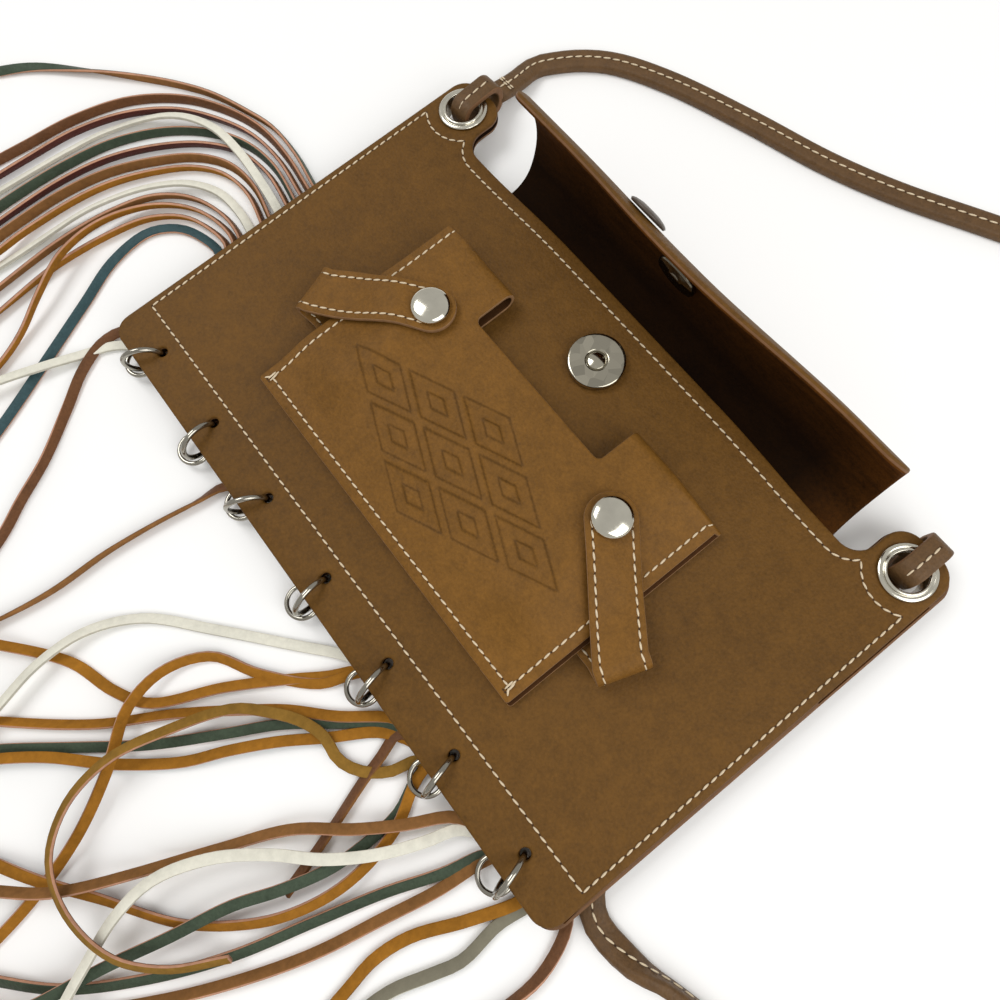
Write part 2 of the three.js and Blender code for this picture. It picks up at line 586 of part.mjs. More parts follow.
const THONGS = [
  {
    ring: 1,
    lean: [20, -25, -20],
    route: [
      [-106, 6], [-110, 20], [-117.5, 27.5], [-127, 26.5], [-136, 22], [-142, 12.5], [-140.5, -3],
      [-133, -19], [-125, -36], [-113, -62], [-106, -80],
    ],
  },
  {
    ring: 1,
    lean: [70, 75, 40],
    route: [
      [-105, 9], [-109, 23.5], [-117.5, 31.3], [-128, 30.5], [-138, 26], [-146, 16], [-150, 2],
      [-152, -20], [-150, -42], [-147, -68],
    ],
  },
  {
    ring: 1,
    lean: [70, 75, 60],
    route: [
      [-104, 12], [-108, 27], [-117.5, 34.2], [-129, 34], [-140.5, 29], [-149.5, 19], [-154, 4],
      [-151, -14], [-143, -29], [-136, -43], [-130, -60], [-125, -82],
    ],
  },
  {
    ring: 1,
    lean: [5, 12, 10],
    route: [
      [-108, -14], [-113, -20], [-117, -31], [-121, -44], [-125, -58], [-130, -84],
    ],
  },
  {
    ring: 1,
    lean: [-30, -75, -60],
    route: [
      [-108, -10], [-114.5, -13], [-116, -21], [-111.5, -32], [-103, -43], [-92, -58], [-85, -71],
      [-79, -81], [-73, -96],
    ],
  },
  {
    ring: 2,
    lean: [75, 75, 60],
    route: [
      [-75, 0], [-95, 19.5], [-108, 32.5], [-118, 36.8], [-130, 37], [-143, 32], [-152.5, 22],
      [-157.5, 7], [-159.5, -14], [-158, -40], [-156, -66],
    ],
  },
  {
    ring: 2,
    lean: [20, 30, 15],
    route: [
      [-75, 3], [-94, 23.5], [-107.5, 36.8], [-118, 40.9], [-129, 42], [-138, 40.5], [-148, 33.5],
      [-156, 21], [-161.5, 4], [-164.5, -15], [-166, -36], [-168, -62],
    ],
  },
  {
    ring: 2,
    lean: [75, 75, 70],
    route: [
      [-75, 6], [-93, 28.5], [-106.5, 42], [-118, 46], [-131, 48.5], [-143, 46.5], [-153, 39.5],
      [-161, 28], [-168, 12], [-171, -5], [-171, -22], [-169, -34], [-168, -58],
    ],
  },
  {
    ring: 2,
    lean: [-75, -75, -70],
    route: [
      [-73, 9], [-91, 32], [-105, 45], [-118, 48.8], [-132, 51.5], [-145, 49.8], [-156, 42.5], [-165, 30],
      [-172.5, 14], [-176, -3], [-176.5, -22], [-175, -52],
    ],
  },
  {
    ring: 3,
    lean: [75, 75, 60],
    route: [
      [-48, 0], [-72, 29], [-96, 49], [-107, 53.8], [-118, 56.6], [-133, 58.5], [-147, 55.8],
      [-159, 47.5], [-169.5, 34], [-177.5, 17], [-181, -1], [-181.5, -22], [-180, -54],
    ],
  },
  {
    ring: 3,
    lean: [-75, -75, -60],
    route: [
      [-47, 2], [-71, 31.5], [-95, 51.8], [-107, 56.7], [-118, 59.3], [-134, 61.5], [-148, 59.3],
      [-161, 52.3], [-173, 40], [-182, 22.5], [-186, 2], [-187, -20], [-186, -50],
    ],
  },
  {
    ring: 4,
    lean: [75, 75, 60],
    route: [
      [-14, -4], [-50, 31.5], [-88, 54.5], [-106, 60.5], [-118, 62.5], [-134, 64.5], [-149, 63.3],
      [-163, 58], [-178, 48], [-189.5, 32.5], [-196, 14], [-198, -6], [-199, -24], [-200, -50],
    ],
  },
  {
    ring: 4,
    lean: [-75, -75, -60],
    route: [
      [-13, -1], [-48, 35.5], [-88, 58], [-105, 63.5], [-118, 65.4], [-134, 67.4], [-150, 66.8],
      [-165, 62], [-181, 52], [-194, 36], [-201, 16], [-203.5, -4], [-205.5, -20], [-208, -44],
    ],
  },
  {
    ring: 3,
    lean: [15, 25, 20],
    route: [
      [-48, -2], [-72, 26.5], [-96, 45.2], [-107, 50.4], [-118, 52.8], [-131, 54.3], [-145, 55],
      [-159, 53.5], [-172, 47], [-182.5, 36], [-188.5, 23], [-191, 8], [-192.5, -8], [-193.5, -22],
      [-195, -48],
    ],
  },
  {
    ring: 4,
    lean: [75, 85, -50],
    route: [
      [-12, 2], [-46, 40], [-86, 61.5], [-105, 66.2], [-118, 68.2], [-133, 70.6], [-147, 70.6],
      [-160, 67], [-175, 61.5], [-187, 54.5], [-203, 42.5], [-218, 30], [-233, 15.5], [-241, 3],
      [-248, -12],
    ],
  },
  {
    ring: 3,
    lean: [70, 80, 60],
    route: [
      [-46.5, -16], [-48, -26], [-50.5, -40], [-52.5, -57], [-53, -77], [-56, -95], [-62, -118],
    ],
  },
  {
    ring: 6,
    lean: [-15, -20, -10],
    route: [
      [52, -13.5], [43.5, -17.5], [33, -30.5], [24, -42.5], [16, -57], [5, -76], [-8, -94], [-22, -113],
      [-34, -132],
    ],
  },
  {
    ring: 6,
    lean: [10, 20, 25],
    route: [
      [52, -14.5], [44, -20.5], [36, -33], [28, -45], [21, -58], [15, -71], [4, -86], [-11, -102],
      [-22, -118], [-31, -138],
    ],
  },
  {
    ring: 6,
    lean: [25, 40, 50],
    route: [
      [51, -12], [44, -14.5], [32.5, -28], [22, -38.5], [13.5, -49.5], [2, -66], [-10, -86], [-28, -108],
      [-44, -125],
    ],
  },
  {
    ring: 5,
    lean: [20, 30, 30],
    route: [
      [25, -17], [22, -23], [15, -33.5], [5, -50], [-5, -70], [-15, -77], [-30, -83], [-49, -98],
      [-66, -114],
    ],
  },
  {
    ring: 5,
    lean: [-30, -50, -40],
    route: [
      [25.5, -18], [22, -26.5], [8, -39.5], [-5, -48], [-10, -61], [-7, -74], [4, -87], [13, -103],
      [19, -122], [22, -137], [24, -158],
    ],
  },
  {
    ring: 5,
    lean: [10, 25, 20],
    route: [
      [23, -14], [18, -17.5], [9, -25.5], [-11, -43], [-28, -59], [-35, -74], [-35, -90], [-31, -108],
      [-28, -128],
    ],
  },
  {
    ring: 7,
    lean: [-25, -30, -30],
    route: [
      [87.5, -17], [84.5, -28], [78.5, -44], [72.5, -64], [66, -86], [57, -107], [44, -129], [27, -147],
    ],
  },
  {
    ring: 7,
    lean: [35, 50, 40],
    route: [
      [88.5, -19], [87, -32], [83.5, -48], [79, -68], [72, -88], [63, -108], [52, -127], [36, -145],
      [17, -162],
    ],
  },
  {
    ring: 6,
    lean: [35, 45, 30],
    route: [
      [52, -13], [47.5, -17], [49.3, -23.5], [51.5, -31.5], [56, -45], [60, -58],
      [62.2, -66],
    ],
  },
  {
    ring: 6,
    lean: [-30, -40, 20],
    route: [
      [61, -20.5], [67, -31], [70, -44], [69.5, -57], [64, -74], [51, -93], [30, -109], [5, -128],
      [-14, -143],
    ],
  },
  {
    ring: 6,
    lean: [-10, -15, -15],
    route: [
      [60.5, -20], [64.5, -29], [65.3, -40], [64.5, -51], [60.5, -65], [55.5, -78], [51.5, -96],
      [47, -114], [42.5, -136], [37, -152],
    ],
  },
  {
    ring: 7,
    lean: [30, 45, 50],
    route: [
      [82, -12.5], [75, -16.5], [68, -28.5], [60.5, -40], [50, -54], [41, -75], [32, -96], [22, -116],
      [10, -131], [-2, -149],
    ],
  },
  {
    ring: 7,
    lean: [10, 15, 30],
    route: [
      [83.5, -13.5], [78, -18], [75, -26.5], [69.5, -38.5], [61, -51.5], [51.5, -62], [42, -76],
      [37, -91], [38.5, -104], [44, -117], [49, -128], [55, -144],
    ],
  },
  {
    ring: 7,
    lean: [5, 30, 40],
    route: [
      [86, -6.5], [88.5, 0.5], [96, 3.5], [103, -1], [105, -12], [103.5, -24], [104.5, -37], [102, -46],
      [98.5, -58], [98.5, -80], [103, -102],
    ],
  },
  {
    ring: 7,
    lean: [10, 20, 40],
    route: [
      [86.5, -6], [89, 0], [96, 2], [102, -4], [103, -14], [98, -29.5], [91.5, -45], [90, -56],
      [91.5, -66], [94, -82], [98, -104],
    ],
  },
  {
    ring: 7,
    lean: [20, 75, 70],
    route: [
      [85.5, -6], [88, 1], [95.5, 3.5], [104, -0.5], [110.5, -5.5], [115, -10], [118.3, -17], [120, -25],
      [119.5, -36], [117.5, -50], [117, -72],
    ],
  },
  {
    ring: 6,
    lean: [10, 35, 50],
    route: [
      [56, -18], [54.5, -24], [49.5, -30.5], [43, -33.8], [35, -33.3], [28, -35.8], [21, -41],
      [12.5, -50], [6, -68], [3, -84], [6, -99], [15, -109], [29, -112], [46, -108], [58, -98], [66, -85],
    ],
  },
];

// Lays each thong on the floor and on those before it, and gives its spine with the lean at each step
function layThongs() {
  const tops = new Map();
  return THONGS.map(({ ring, lean, route }) => {
    const head = ringFrame(ring - 1).headCentre;
    const plan = [[head.x, head.y], ...route].map(([x, y]) => new THREE.Vector3(x, y, 0));
    const curve = new THREE.CatmullRomCurve3(plan, false, 'centripetal');
    const length = curve.getLength();
    const count = Math.ceil(length / THONG_STEP);
    curve.arcLengthDivisions = 20 * count;
    curve.updateArcLengths();
    const fine = Math.ceil(THONG_STEP / DRAPE_STEP);
    const spots = Array.from({ length: count * fine + 1 }, (_, i) => curve.getPointAt(i / (count * fine)));
    const exit = length * (spots.findLastIndex(underBag) + 1) / (count * fine);
    const places = spots.map((spot, i) => {
      const s = length * i / (count * fine);
      const along = curve.getTangentAt(i / (count * fine));
      return { s, spot, along, lean: leanAt(lean, s, exit, length), nearHead: s < exit + HEAD_REACH };
    });
    const floor = places.map((place) => support(tops, place, ring));
    const lifted = places.map((place) => Math.max(
      ...places.map((other, j) => floor[j] - DRAPE_SLOPE * Math.abs(other.s - place.s)),
    ));
    const spine = [];
    for (let i = 0; i <= count; i += 1) {
      const reach = Math.ceil(DRAPE_WINDOW * fine);
      const near = lifted.slice(Math.max(0, i * fine - reach), i * fine + reach + 1);
      const held = places[i * fine].s < 1 ? HEAD_Z : Math.max(...near);
      spine.push({ ...places[i * fine], z: held });
    }
    places.forEach((place, i) => {
      const at = Math.min(Math.floor(i / fine), count - 1);
      const z = lerp(spine[at].z, spine[at + 1].z, i / fine - at);
      cover(tops, place, z, ring);
    });
    return { ring, length, spine };
  });
}

function underBag(spot) {
  return Math.abs(spot.x) < HALF_WIDTH + BACK_MARGIN && spot.y > BOTTOM_Y;
}

// Flat at the head, leaning where it leaves the bag, and turning on its way to the free end
function leanAt(lean, s, exit, length) {
  const start = Math.max(exit - LEAN_LENGTH, 0);
  const full = start + LEAN_LENGTH;
  const half = (full + length) / 2;
  if (s < full) return rad(lean[0] * ease((s - start) / LEAN_LENGTH));
  if (s < half) return rad(lerp(lean[0], lean[1], ease((s - full) / (half - full))));
  return rad(lerp(lean[1], lean[2], ease((s - half) / (length - half))));
}

function eachAcross({ spot, along, lean }, visit) {
  const reach = THONG_WIDTH / 2 + DRAPE_MARGIN;
  for (let k = -3; k <= 3; k += 1) {
    const w = k / 3 * reach;
    const flat = w * Math.cos(lean);
    const edge = Math.abs(Math.sin(lean)) * THONG_LEATHER / 2;
    for (const e of [-edge, 0, edge]) {
      const x = spot.x - along.y * (flat + e);
      const y = spot.y + along.x * (flat + e);
      const key = `${Math.round(x / DRAPE_CELL)},${Math.round(y / DRAPE_CELL)}`;
      visit(key, w * Math.sin(lean));
    }
  }
}

function support(tops, place, ring) {
  const half = THONG_LEATHER / 2 * Math.cos(place.lean);
  let z = THONG_WIDTH / 2 * Math.abs(Math.sin(place.lean)) + half + FLOOR_CLEAR;
  eachAcross(place, (key, rise) => {
    for (const top of tops.get(key) ?? []) {
      const kin = top.ring === ring && place.nearHead;
      if (!kin) z = Math.max(z, top.z + THONG_CLEAR - rise + half);
    }
  });
  return z;
}

function cover(tops, place, z, ring) {
  const half = THONG_LEATHER / 2 * Math.cos(place.lean);
  eachAcross(place, (key, rise) => {
    if (!tops.has(key)) tops.set(key, []);
    tops.get(key).push({ ring, z: z + rise + half });
  });
}

function thong({ length, spine }) {
  const steps = spine.length - 1;
  const blank = new THREE.BoxGeometry(THONG_WIDTH, THONG_LEATHER, length, 1, 1, steps);
  return toSolid(formed(blank, (w, h, s) => {
    const { spot, along, lean, z } = spine[Math.round((s / length + 0.5) * steps)];
    const side = new THREE.Vector3(-along.y, along.x, 0);
    const up = new THREE.Vector3(0, 0, 1);
    return new THREE.Vector3(spot.x, spot.y, z)
      .addScaledVector(side, w * Math.cos(lean) - h * Math.sin(lean))
      .addScaledVector(up, w * Math.sin(lean) + h * Math.cos(lean));
  }));
}

// Leather loop on a link ring, with the ring's thongs grown into it
function fringe(ring, laid) {
  const { headCentre, headTurn } = ringFrame(ring - 1);
  const band = new THREE.Shape().absarc(0, 0, HEAD_OUTER, 0, 2 * Math.PI);
  band.holes.push(new THREE.Path().absarc(0, 0, HEAD_INNER, 0, 2 * Math.PI));
  const settings = { depth: THONG_WIDTH, bevelEnabled: false, curveSegments: 5 };
  const loop = new THREE.ExtrudeGeometry(band, settings);
  loop.translate(0, 0, -THONG_WIDTH / 2);
  loop.rotateX(Math.PI / 2);
  loop.rotateZ(rad(headTurn));
  loop.translate(headCentre.x, headCentre.y, headCentre.z);
  const strips = laid.filter((strip) => strip.ring === ring).map(thong);
  const whole = strips.reduce((sum, strip) => sum.add(strip), toSolid(loop));
  return toGeometry(outerSkin(whole));
}

// Drops the closed hollows that strips leave where they cross in the head
function outerSkin(solid) {
  return solid.decompose().reduce((best, shell) => (shell.volume() > best.volume() ? shell : best));
}

// Strap

const STRAP_ROUTE = [
  [-105.2, 156.5], [-102.5, 162.5], [-96.5, 171], [-87.5, 179], [-69, 188], [-39, 197.5], [-9.5, 205.5],
  [13, 214], [42, 228], [110, 260], [200, 282], [288, 268], [342, 208], [352, 130], [318, 60], [258, 22],
  [200, 12], [162, 8], [145, 3.8], [130, -1.5], [119, -2.8], [112, 1], [106, 11], [101.5, 28], [98.5, 60],
  [100, 95],
];

function strapLoop(side, { reach, heading }) {
  const shape = new THREE.Shape();
  roundedBox(LOOP_START, LOOP_LOW_Z, reach, LOOP_HIGH_Z, LOOP_RADIUS, shape);
  const t = LOOP_LEATHER;
  shape.holes.push(roundedBox(
    LOOP_START + t, LOOP_LOW_Z + t, reach - t, LOOP_HIGH_Z - t, LOOP_RADIUS - t / 2, new THREE.Path(),
  ));
  const settings = { depth: STRAP_WIDTH, bevelEnabled: false, curveSegments: ARC_SEGMENTS };
  const loop = new THREE.ExtrudeGeometry(shape, settings);
  loop.translate(0, 0, -STRAP_WIDTH / 2);
  loop.rotateX(Math.PI / 2);
  loop.rotateZ(rad(heading));
  loop.translate(side * GROMMET_X, GROMMET_Y, 0);
  return toSolid(loop);
}

// Turn of the strap about its own length at a distance from its end
function strapRoll(left) {
  const near = ease((left - EDGE_NEAR.from) / EDGE_NEAR.over);
  const far = ease((left - EDGE_FAR.from) / EDGE_FAR.over);
  return rad(EDGE_ROLL) * near * (1 - far);
}

function strap() {
  const leftWay = onPlan(LEFT_LOOP.heading, 1);
  const leftEye = new THREE.Vector3(-GROMMET_X, GROMMET_Y, 0);
  const start = leftEye.clone().addScaledVector(leftWay, LEFT_LOOP.reach - LOOP_LEATHER / 2).setZ(LEAD_Z[0]);
  const lead = leftEye.clone().addScaledVector(leftWay, LEFT_LOOP.reach + LEAD_LENGTH).setZ(LEAD_Z[1]);
  const rightEye = new THREE.Vector3(GROMMET_X, GROMMET_Y, STRAP_Z);
  const end = rightEye.clone().add(onPlan(RIGHT_LOOP.heading, RIGHT_LOOP.reach / 2));
  const points = [start, lead, ...STRAP_ROUTE.map(([x, y]) => new THREE.Vector3(x, y, STRAP_Z)), end];
  const curve = new THREE.CatmullRomCurve3(points, false, 'centripetal');
  const length = curve.getLength();
  const steps = Math.ceil(length / STRAP_STEP);
  const w = STRAP_WIDTH / 2;
  const t = STRAP_THICK / 2;
  const c = STRAP_CHAMFER;
  const section = new THREE.Shape();
  section.moveTo(-w, -t + c).lineTo(-w + c, -t).lineTo(w - c, -t).lineTo(w, -t + c);
  section.lineTo(w, t - c).lineTo(w - c, t).lineTo(-w + c, t).lineTo(-w, t - c);
  section.closePath();
  const blank = new THREE.ExtrudeGeometry(section, { depth: length, steps, bevelEnabled: false });
  const run = formed(blank, (a, b, s) => {
    const at = THREE.MathUtils.clamp(s / length, 0, 1);
    const along = curve.getTangentAt(at);
    const roll = strapRoll(length * (1 - at));
    const side = new THREE.Vector3(-along.y, along.x, 0).normalize().applyAxisAngle(along, roll);
    const up = new THREE.Vector3().crossVectors(along, side);
    const lift = w * Math.sin(roll) + t * Math.cos(roll) - t;
    const spot = curve.getPointAt(at);
    spot.z = Math.max(spot.z, STRAP_Z) + lift;
    return spot.addScaledVector(side, a).addScaledVector(up, b);
  });
  return toGeometry(toSolid(run).add(strapLoop(-1, LEFT_LOOP)).add(strapLoop(1, RIGHT_LOOP)));
}

// Assembly

const bag = new THREE.Group();

function addNode(name, geometry, colour, { roughness = 0.6, metalness = 0 } = {}) {
  geometry.computeVertexNormals();
  const material = new THREE.MeshStandardMaterial({ color: colour, roughness, metalness });
  const mesh = new THREE.Mesh(geometry, material);
  mesh.name = name;
  bag.add(mesh);
  return mesh;
}

const METAL = { roughness: 0.2, metalness: 1 };

addNode('front_panel', frontPanel(), COLOURS.leather);
addNode('back_panel_flap', backPanelFlap(), COLOURS.suede);
addNode('card_holder', cardHolder(), COLOURS.leather);

for (const [name, side] of [['left', -1], ['right', 1]]) {
  addNode(`tab_${name}`, tab(side), COLOURS.leather);
  const cap = addNode(`snap_cap_${name}`, snapCap(), COLOURS.metal, METAL);
  seatCap(cap, side);
  const eyelet = addNode(`grommet_${name}`, grommet(), COLOURS.metal, METAL);
  eyelet.position.set(side * GROMMET_X, GROMMET_Y, 0);
}

const socket = addNode('magnet_socket', magnetSocket(), COLOURS.metal, METAL);
socket.position.set(0, MAGNET_Y, frontTop(0, MAGNET_Y) + CLEAR);

const inner = flapAt(FLAP_MAGNET_S);
const hollow = FLAP_MAGNET_RADIUS ** 2 / (2 * (FLAP_ARCS[1].radius - LEATHER));
const magnet = addNode('flap_magnet', flapMagnet(), COLOURS.metal, METAL);
magnet.position.set(0, inner.y + flapWave(0, FLAP_MAGNET_S), inner.z);
magnet.rotation.x = inner.heading;
magnet.translateZ(LEATHER + hollow + FLAP_SEAT);

const outer = flapAt(FLAP_STUD_S);
const stud = addNode('flap_stud', flapStud(), COLOURS.metal, METAL);
stud.position.set(FLAP_STUD_X, outer.y + flapWave(FLAP_STUD_X, FLAP_STUD_S), outer.z);
stud.rotation.x = outer.heading + Math.PI;
stud.translateZ(FLAP_SEAT);

const laid = layThongs();
for (let i = 0; i < RING_COUNT; i += 1) {
  const frame = ringFrame(i);
  const ring = addNode(`panel_ring_${i + 1}`, panelRing(), COLOURS.metal, METAL);
  ring.position.copy(frame.centre);
  ring.rotation.z = rad(frame.yaw);
  const link = addNode(`link_ring_${i + 1}`, linkRing(), COLOURS.metal, METAL);
  link.position.copy(frame.linkCentre);
  addNode(`fringe_${i + 1}`, fringe(i + 1, laid), COLOURS.thong);
}

addNode('strap', strap(), COLOURS.strap);

// The origin is on the floor, under the middle of the whole object's box
const extent = new THREE.Box3().setFromObject(bag);
const middle = extent.getCenter(new THREE.Vector3());
bag.position.set(-middle.x, -middle.y, -extent.min.z);

const part = new THREE.Group();
part.add(bag);

export default part;
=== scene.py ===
"""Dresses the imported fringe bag: tooled leather, thread, nickel fittings, dyed thongs and the studio."""

from collections import namedtuple
from math import ceil, cos, floor, hypot, pi, radians, sin, sqrt, tan

import bmesh
import bpy
import numpy as np
from mathutils import Matrix, Vector


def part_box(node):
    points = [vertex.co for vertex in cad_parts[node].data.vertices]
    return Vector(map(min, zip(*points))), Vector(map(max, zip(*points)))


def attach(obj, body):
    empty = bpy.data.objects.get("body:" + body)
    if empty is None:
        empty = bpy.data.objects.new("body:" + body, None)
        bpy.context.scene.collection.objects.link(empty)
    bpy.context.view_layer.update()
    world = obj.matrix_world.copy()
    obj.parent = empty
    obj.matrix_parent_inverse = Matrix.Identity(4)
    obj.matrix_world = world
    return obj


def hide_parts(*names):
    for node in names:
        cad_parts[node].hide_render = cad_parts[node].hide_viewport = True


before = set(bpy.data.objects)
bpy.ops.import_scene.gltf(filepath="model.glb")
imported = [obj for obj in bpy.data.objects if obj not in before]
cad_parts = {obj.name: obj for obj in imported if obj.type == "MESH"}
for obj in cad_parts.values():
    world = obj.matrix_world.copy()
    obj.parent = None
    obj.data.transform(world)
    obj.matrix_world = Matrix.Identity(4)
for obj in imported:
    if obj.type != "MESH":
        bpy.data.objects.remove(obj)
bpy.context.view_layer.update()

bl_info = {
    "name": "Fringe Crossbody Bag",
    "version": (1, 0, 0),
    "blender": (4, 5, 0),
    "location": "View3D > Sidebar > Bag",
    "description": "Leather, thread, metal and studio for a bag with a thong fringe",
    "category": "Object",
}

MM = 0.001

# Body: two sewn panels of one outline, in millimetres from the middle of the bottom seam
LEATHER = 2.0
SEAM_GAP = 0.3
HALF_WIDTH = 111.6
BACK_MARGIN = 1.5
BACK_EDGE_INSET = 1
BOTTOM_Y = -14.5
MOUTH_Y = 114.8
CORNER_RADIUS = 6
EAR_TOP_Y = 132.6
EAR_INNER_X = 90.5
EAR_RADIUS = 7
BACK_Z = 6.0
FRONT_Z = BACK_Z + LEATHER + SEAM_GAP
FRONT_SWELL = 3.6
BACK_SAG = 2.0
SWELL_EDGE_X = 80
SWELL_RISE_X = 45
SWELL_RISE_Y = 35

# Flap: a tongue of the back panel that curls up in two arcs of the outer face (radius, turn in degrees)
FLAP_LEFT_X = -67
FLAP_RIGHT_X = 81.5
FLAP_LEAD = 1.2
FLAP_ARCS = ((11, 65), (32.5, 70))
# Its free edge waves: depth, start along X and length of the wave in and of the wave out
FLAP_WAVE_IN = (1.3, -45, 45)
FLAP_WAVE_OUT = (3.3, 5, 57)
FLAP_CORNER = 8
FLAP_TAPER = 3.4
FLAP_SETTLE = 14
FLAP_MARGIN = 1.5
FLAP_LENGTH = FLAP_LEAD + sum(radius * radians(turn) for radius, turn in FLAP_ARCS)

# Eyelets, card holder and tabs
GROMMET_X = 101.3
GROMMET_Y = 122.6
GROMMET_OUTER = 8.3
GROMMET_INNER = 5.65
GROMMET_WALL = 0.7
GROMMET_RIM = 1.0
CLEAR = 0.3
HOLDER_X = -0.6
HOLDER_HALF_WIDTH = 62.2
HOLDER_Y = 13.9
HOLDER_HEIGHT = 72
HOLDER_SEAT = 0.8
HOLDER_LEATHER = 1.3
HOLDER_GAP = 4.8
HOLDER_SIDE_RISE = 22
HOLDER_BOTTOM_RISE = 36
LEAF_DRAW = 1.2
LEAF_DRAW_FROM = 40
NOTCH_X = -2.9
NOTCH_HALF_WIDTH = 28
NOTCH_DEPTH = 11
NOTCH_RADIUS = 2
CURL_RISE = 5
CURL_X = (-40, 18)
CURL_Y = (48, 18)
HOLDER_CORNER = 1.0
FOLD_LENGTH = pi * (HOLDER_GAP + HOLDER_LEATHER) / 2
TAB_WIDTH = 15
TAB_LEATHER = 1.8
TAB_ROOT_X = 48
TAB_BEND_X = 70.9
TAB_BEND_Y = 44.6
TAB_TILT = 36.2
TAB_BEND_LENGTH = 12
TAB_CAP_REACH = 37.4
TAB_SEAT = 0.9
TAB_CORNER = 1.0
TAB_LIFT_X = (30, 14)
TAB_LIFT_Y = (24, 14)
TAB_LOWER = TAB_BEND_X - TAB_ROOT_X
TAB_CAP_S = TAB_LOWER + TAB_BEND_LENGTH + TAB_CAP_REACH
CAP_RADIUS = 6
CAP_HEIGHT = 2.4
CAP_SEAT = 0.6

# Magnetic catch
MAGNET_Y = 95.9
MAGNET_RADIUS = 8.8
MAGNET_HEIGHT = 2.6
MAGNET_RECESS = 3.3
FLAP_MAGNET_S = 36
FLAP_MAGNET_RADIUS = 7.2
FLAP_STUD_X = -16
FLAP_STUD_S = 44
FLAP_STUD_RADIUS = 6.5
FLAP_SEAT = 0.4

# Rings and thongs
RING_COUNT = 7
RING_PITCH = 31
RING_HOLE_Y = -6
RING_PUNCH_RADIUS = 1.6
RING_RADIUS = 6.4
RING_WIRE = 0.85
RING_SLACK = 0.4
LINK_RADIUS = 4.9
LINK_WIRE = 0.75
LINK_Z = 3.6
LINK_REACH = 10.3
LINK_ASIDE = 2.5
RINGS = ((-24, 115), (12, 130), (-24, 115), (12, 130), (14, 130), (14, 130), (14, 130))
THONG_WIDTH = 3.2
THONG_LEATHER = 1.2
THONG_STEP = 21
THONG_CLEAR = 0.4
LEAN_LENGTH = 25
HEAD_INNER = 1.35
HEAD_OUTER = 2.2
HEAD_REACH = 35
HEAD_Z = 1.5
HEAD_ROUND = 0.3
DRAPE_MARGIN = 0.3
DRAPE_SLOPE = 0.4
DRAPE_WINDOW = 0.6
DRAPE_SPOTS = 3
DRAPE_ROUND = 8
DRAPE_ROUND_SPOTS = 9
FLOOR_CLEAR = 0.05

# Strap
STRAP_WIDTH = 7.5
STRAP_THICK = 3.6
STRAP_CHAMFER = 1.1
STRAP_Z = 1.85
LOOP_LEATHER = 2.0
LOOP_LOW_Z = 2.2
LOOP_HIGH_Z = 13.9
LOOP_START = -2.6
LOOP_RADIUS = 4.5
LOOP_ROUND = 0.5
LEAD_LENGTH = 8
LEAD_Z = (6.4, 4.6)
LEFT_LOOP = (15, 94)
RIGHT_LOOP = (13.8, 90)
# The strap lies on its edge for a stretch, by distance from its end: start and length of each turn
EDGE_ROLL = 90
EDGE_NEAR = (138, 24)
EDGE_FAR = (260, 70)

# Where the stitch lines run
SEAM_X = 109
SEAM_MOUTH_INSET = 4.5
SEAM_EYELET_RADIUS = 12.5
SEAM_EYELET_TURN = (-52, -145)
# Turn of the line round the neck of an ear, and its inset where it starts
SEAM_NECK_TURN = (-40, -90)
SEAM_NECK_INSET = 2.9
HOLDER_SEAM_INSET = 3.2
TAB_SEAM_W = 5.5
TAB_SEAM_START = 2
STRAP_SEAM_START = 2
STRAP_SEAM_PITCH = 1.15

# Tacks at the foot of the holder's side seams and out to its corners
TACK_SHIFT = 0.45
TACK_ENDS = (-1.6, 2.2)
TACK_LENGTH = 3.4
TACK_LIFT = 0.25
CORNER_TACK_OUT = 1.8
CORNER_TACK_END = 1.2
CORNER_TACK_LENGTH = 2.4
CORNER_TACK_LIFT = 0.2

# Whipping across the strap where its left loop is sewn on
WHIP_STARTS = (4.6, 5.6)
WHIP_INSET = 0.3
WHIP_SLANT = 0.5
WHIP_LENGTH = 2.4
WHIP_LIFT = 0.1

# Tooled panel on the card holder: a lozenge of small pressed lozenges
TOOLING_Y = 43
TOOLING_HALF_X = 50
TOOLING_HALF_Y = 22
TOOLING_CELLS = 3
# Shares of a small lozenge: its raised border and half of the raised island in its middle
TOOLING_BORDER = 0.06
TOOLING_ISLAND = 0.12
# Faces are cut finer as far as a margin round it
TOOLING_MARGIN = 2
TOOLING_CUTS = 7

# Greatest length of a face on the sheets and the strap, and how far finer ones lap over a fold or bend
PANEL_CELL = 5
FLAP_CELL = 2.2
HOLDER_CELL = 4
HOLDER_BACK_CELL = 6
FOLD_CELL = 0.8
FOLD_LAP = 1
TAB_ROOT_CELL = 4
TAB_BEND_CELL = 0.7
TAB_BEND_LAP = 0.5
TAB_CELL = 2.5
STRAP_CELL = 4

# Steps round the turned fittings and the rings, and sides of a ring's wire
LATHE_STEPS = 48
EYELET_STEPS = 64
RING_STEPS = 56
WIRE_SIDES = 14

# Camera, from the vanishing points and known places of the photograph
CAMERA_SPOT = Vector((60.8, 27.8, 212.6))
CAMERA_LENS = 25.57
CAMERA_SENSOR = 36
CAMERA_RIGHT = Vector((0.6174, 0.7839, -0.0653))
CAMERA_DOWN = Vector((0.7538, -0.6133, -0.2357))
CAMERA_VIEW = Vector((-0.2248, 0.0963, -0.9696))
CAMERA_NEAR = 0.01

# Studio: the soft lights are set off to the picture's right, to its foot and up, in metres
LIGHT_AIM = Vector((0, 60, 0))
KEY_OFFSET = (-0.6, -0.45, 0.95)
FILL_OFFSET = (0.5, 0.5, 0.8)
SKY_TINT = (1, 0.985, 0.96, 1)
FLOOR_HALF_SIDE = 3

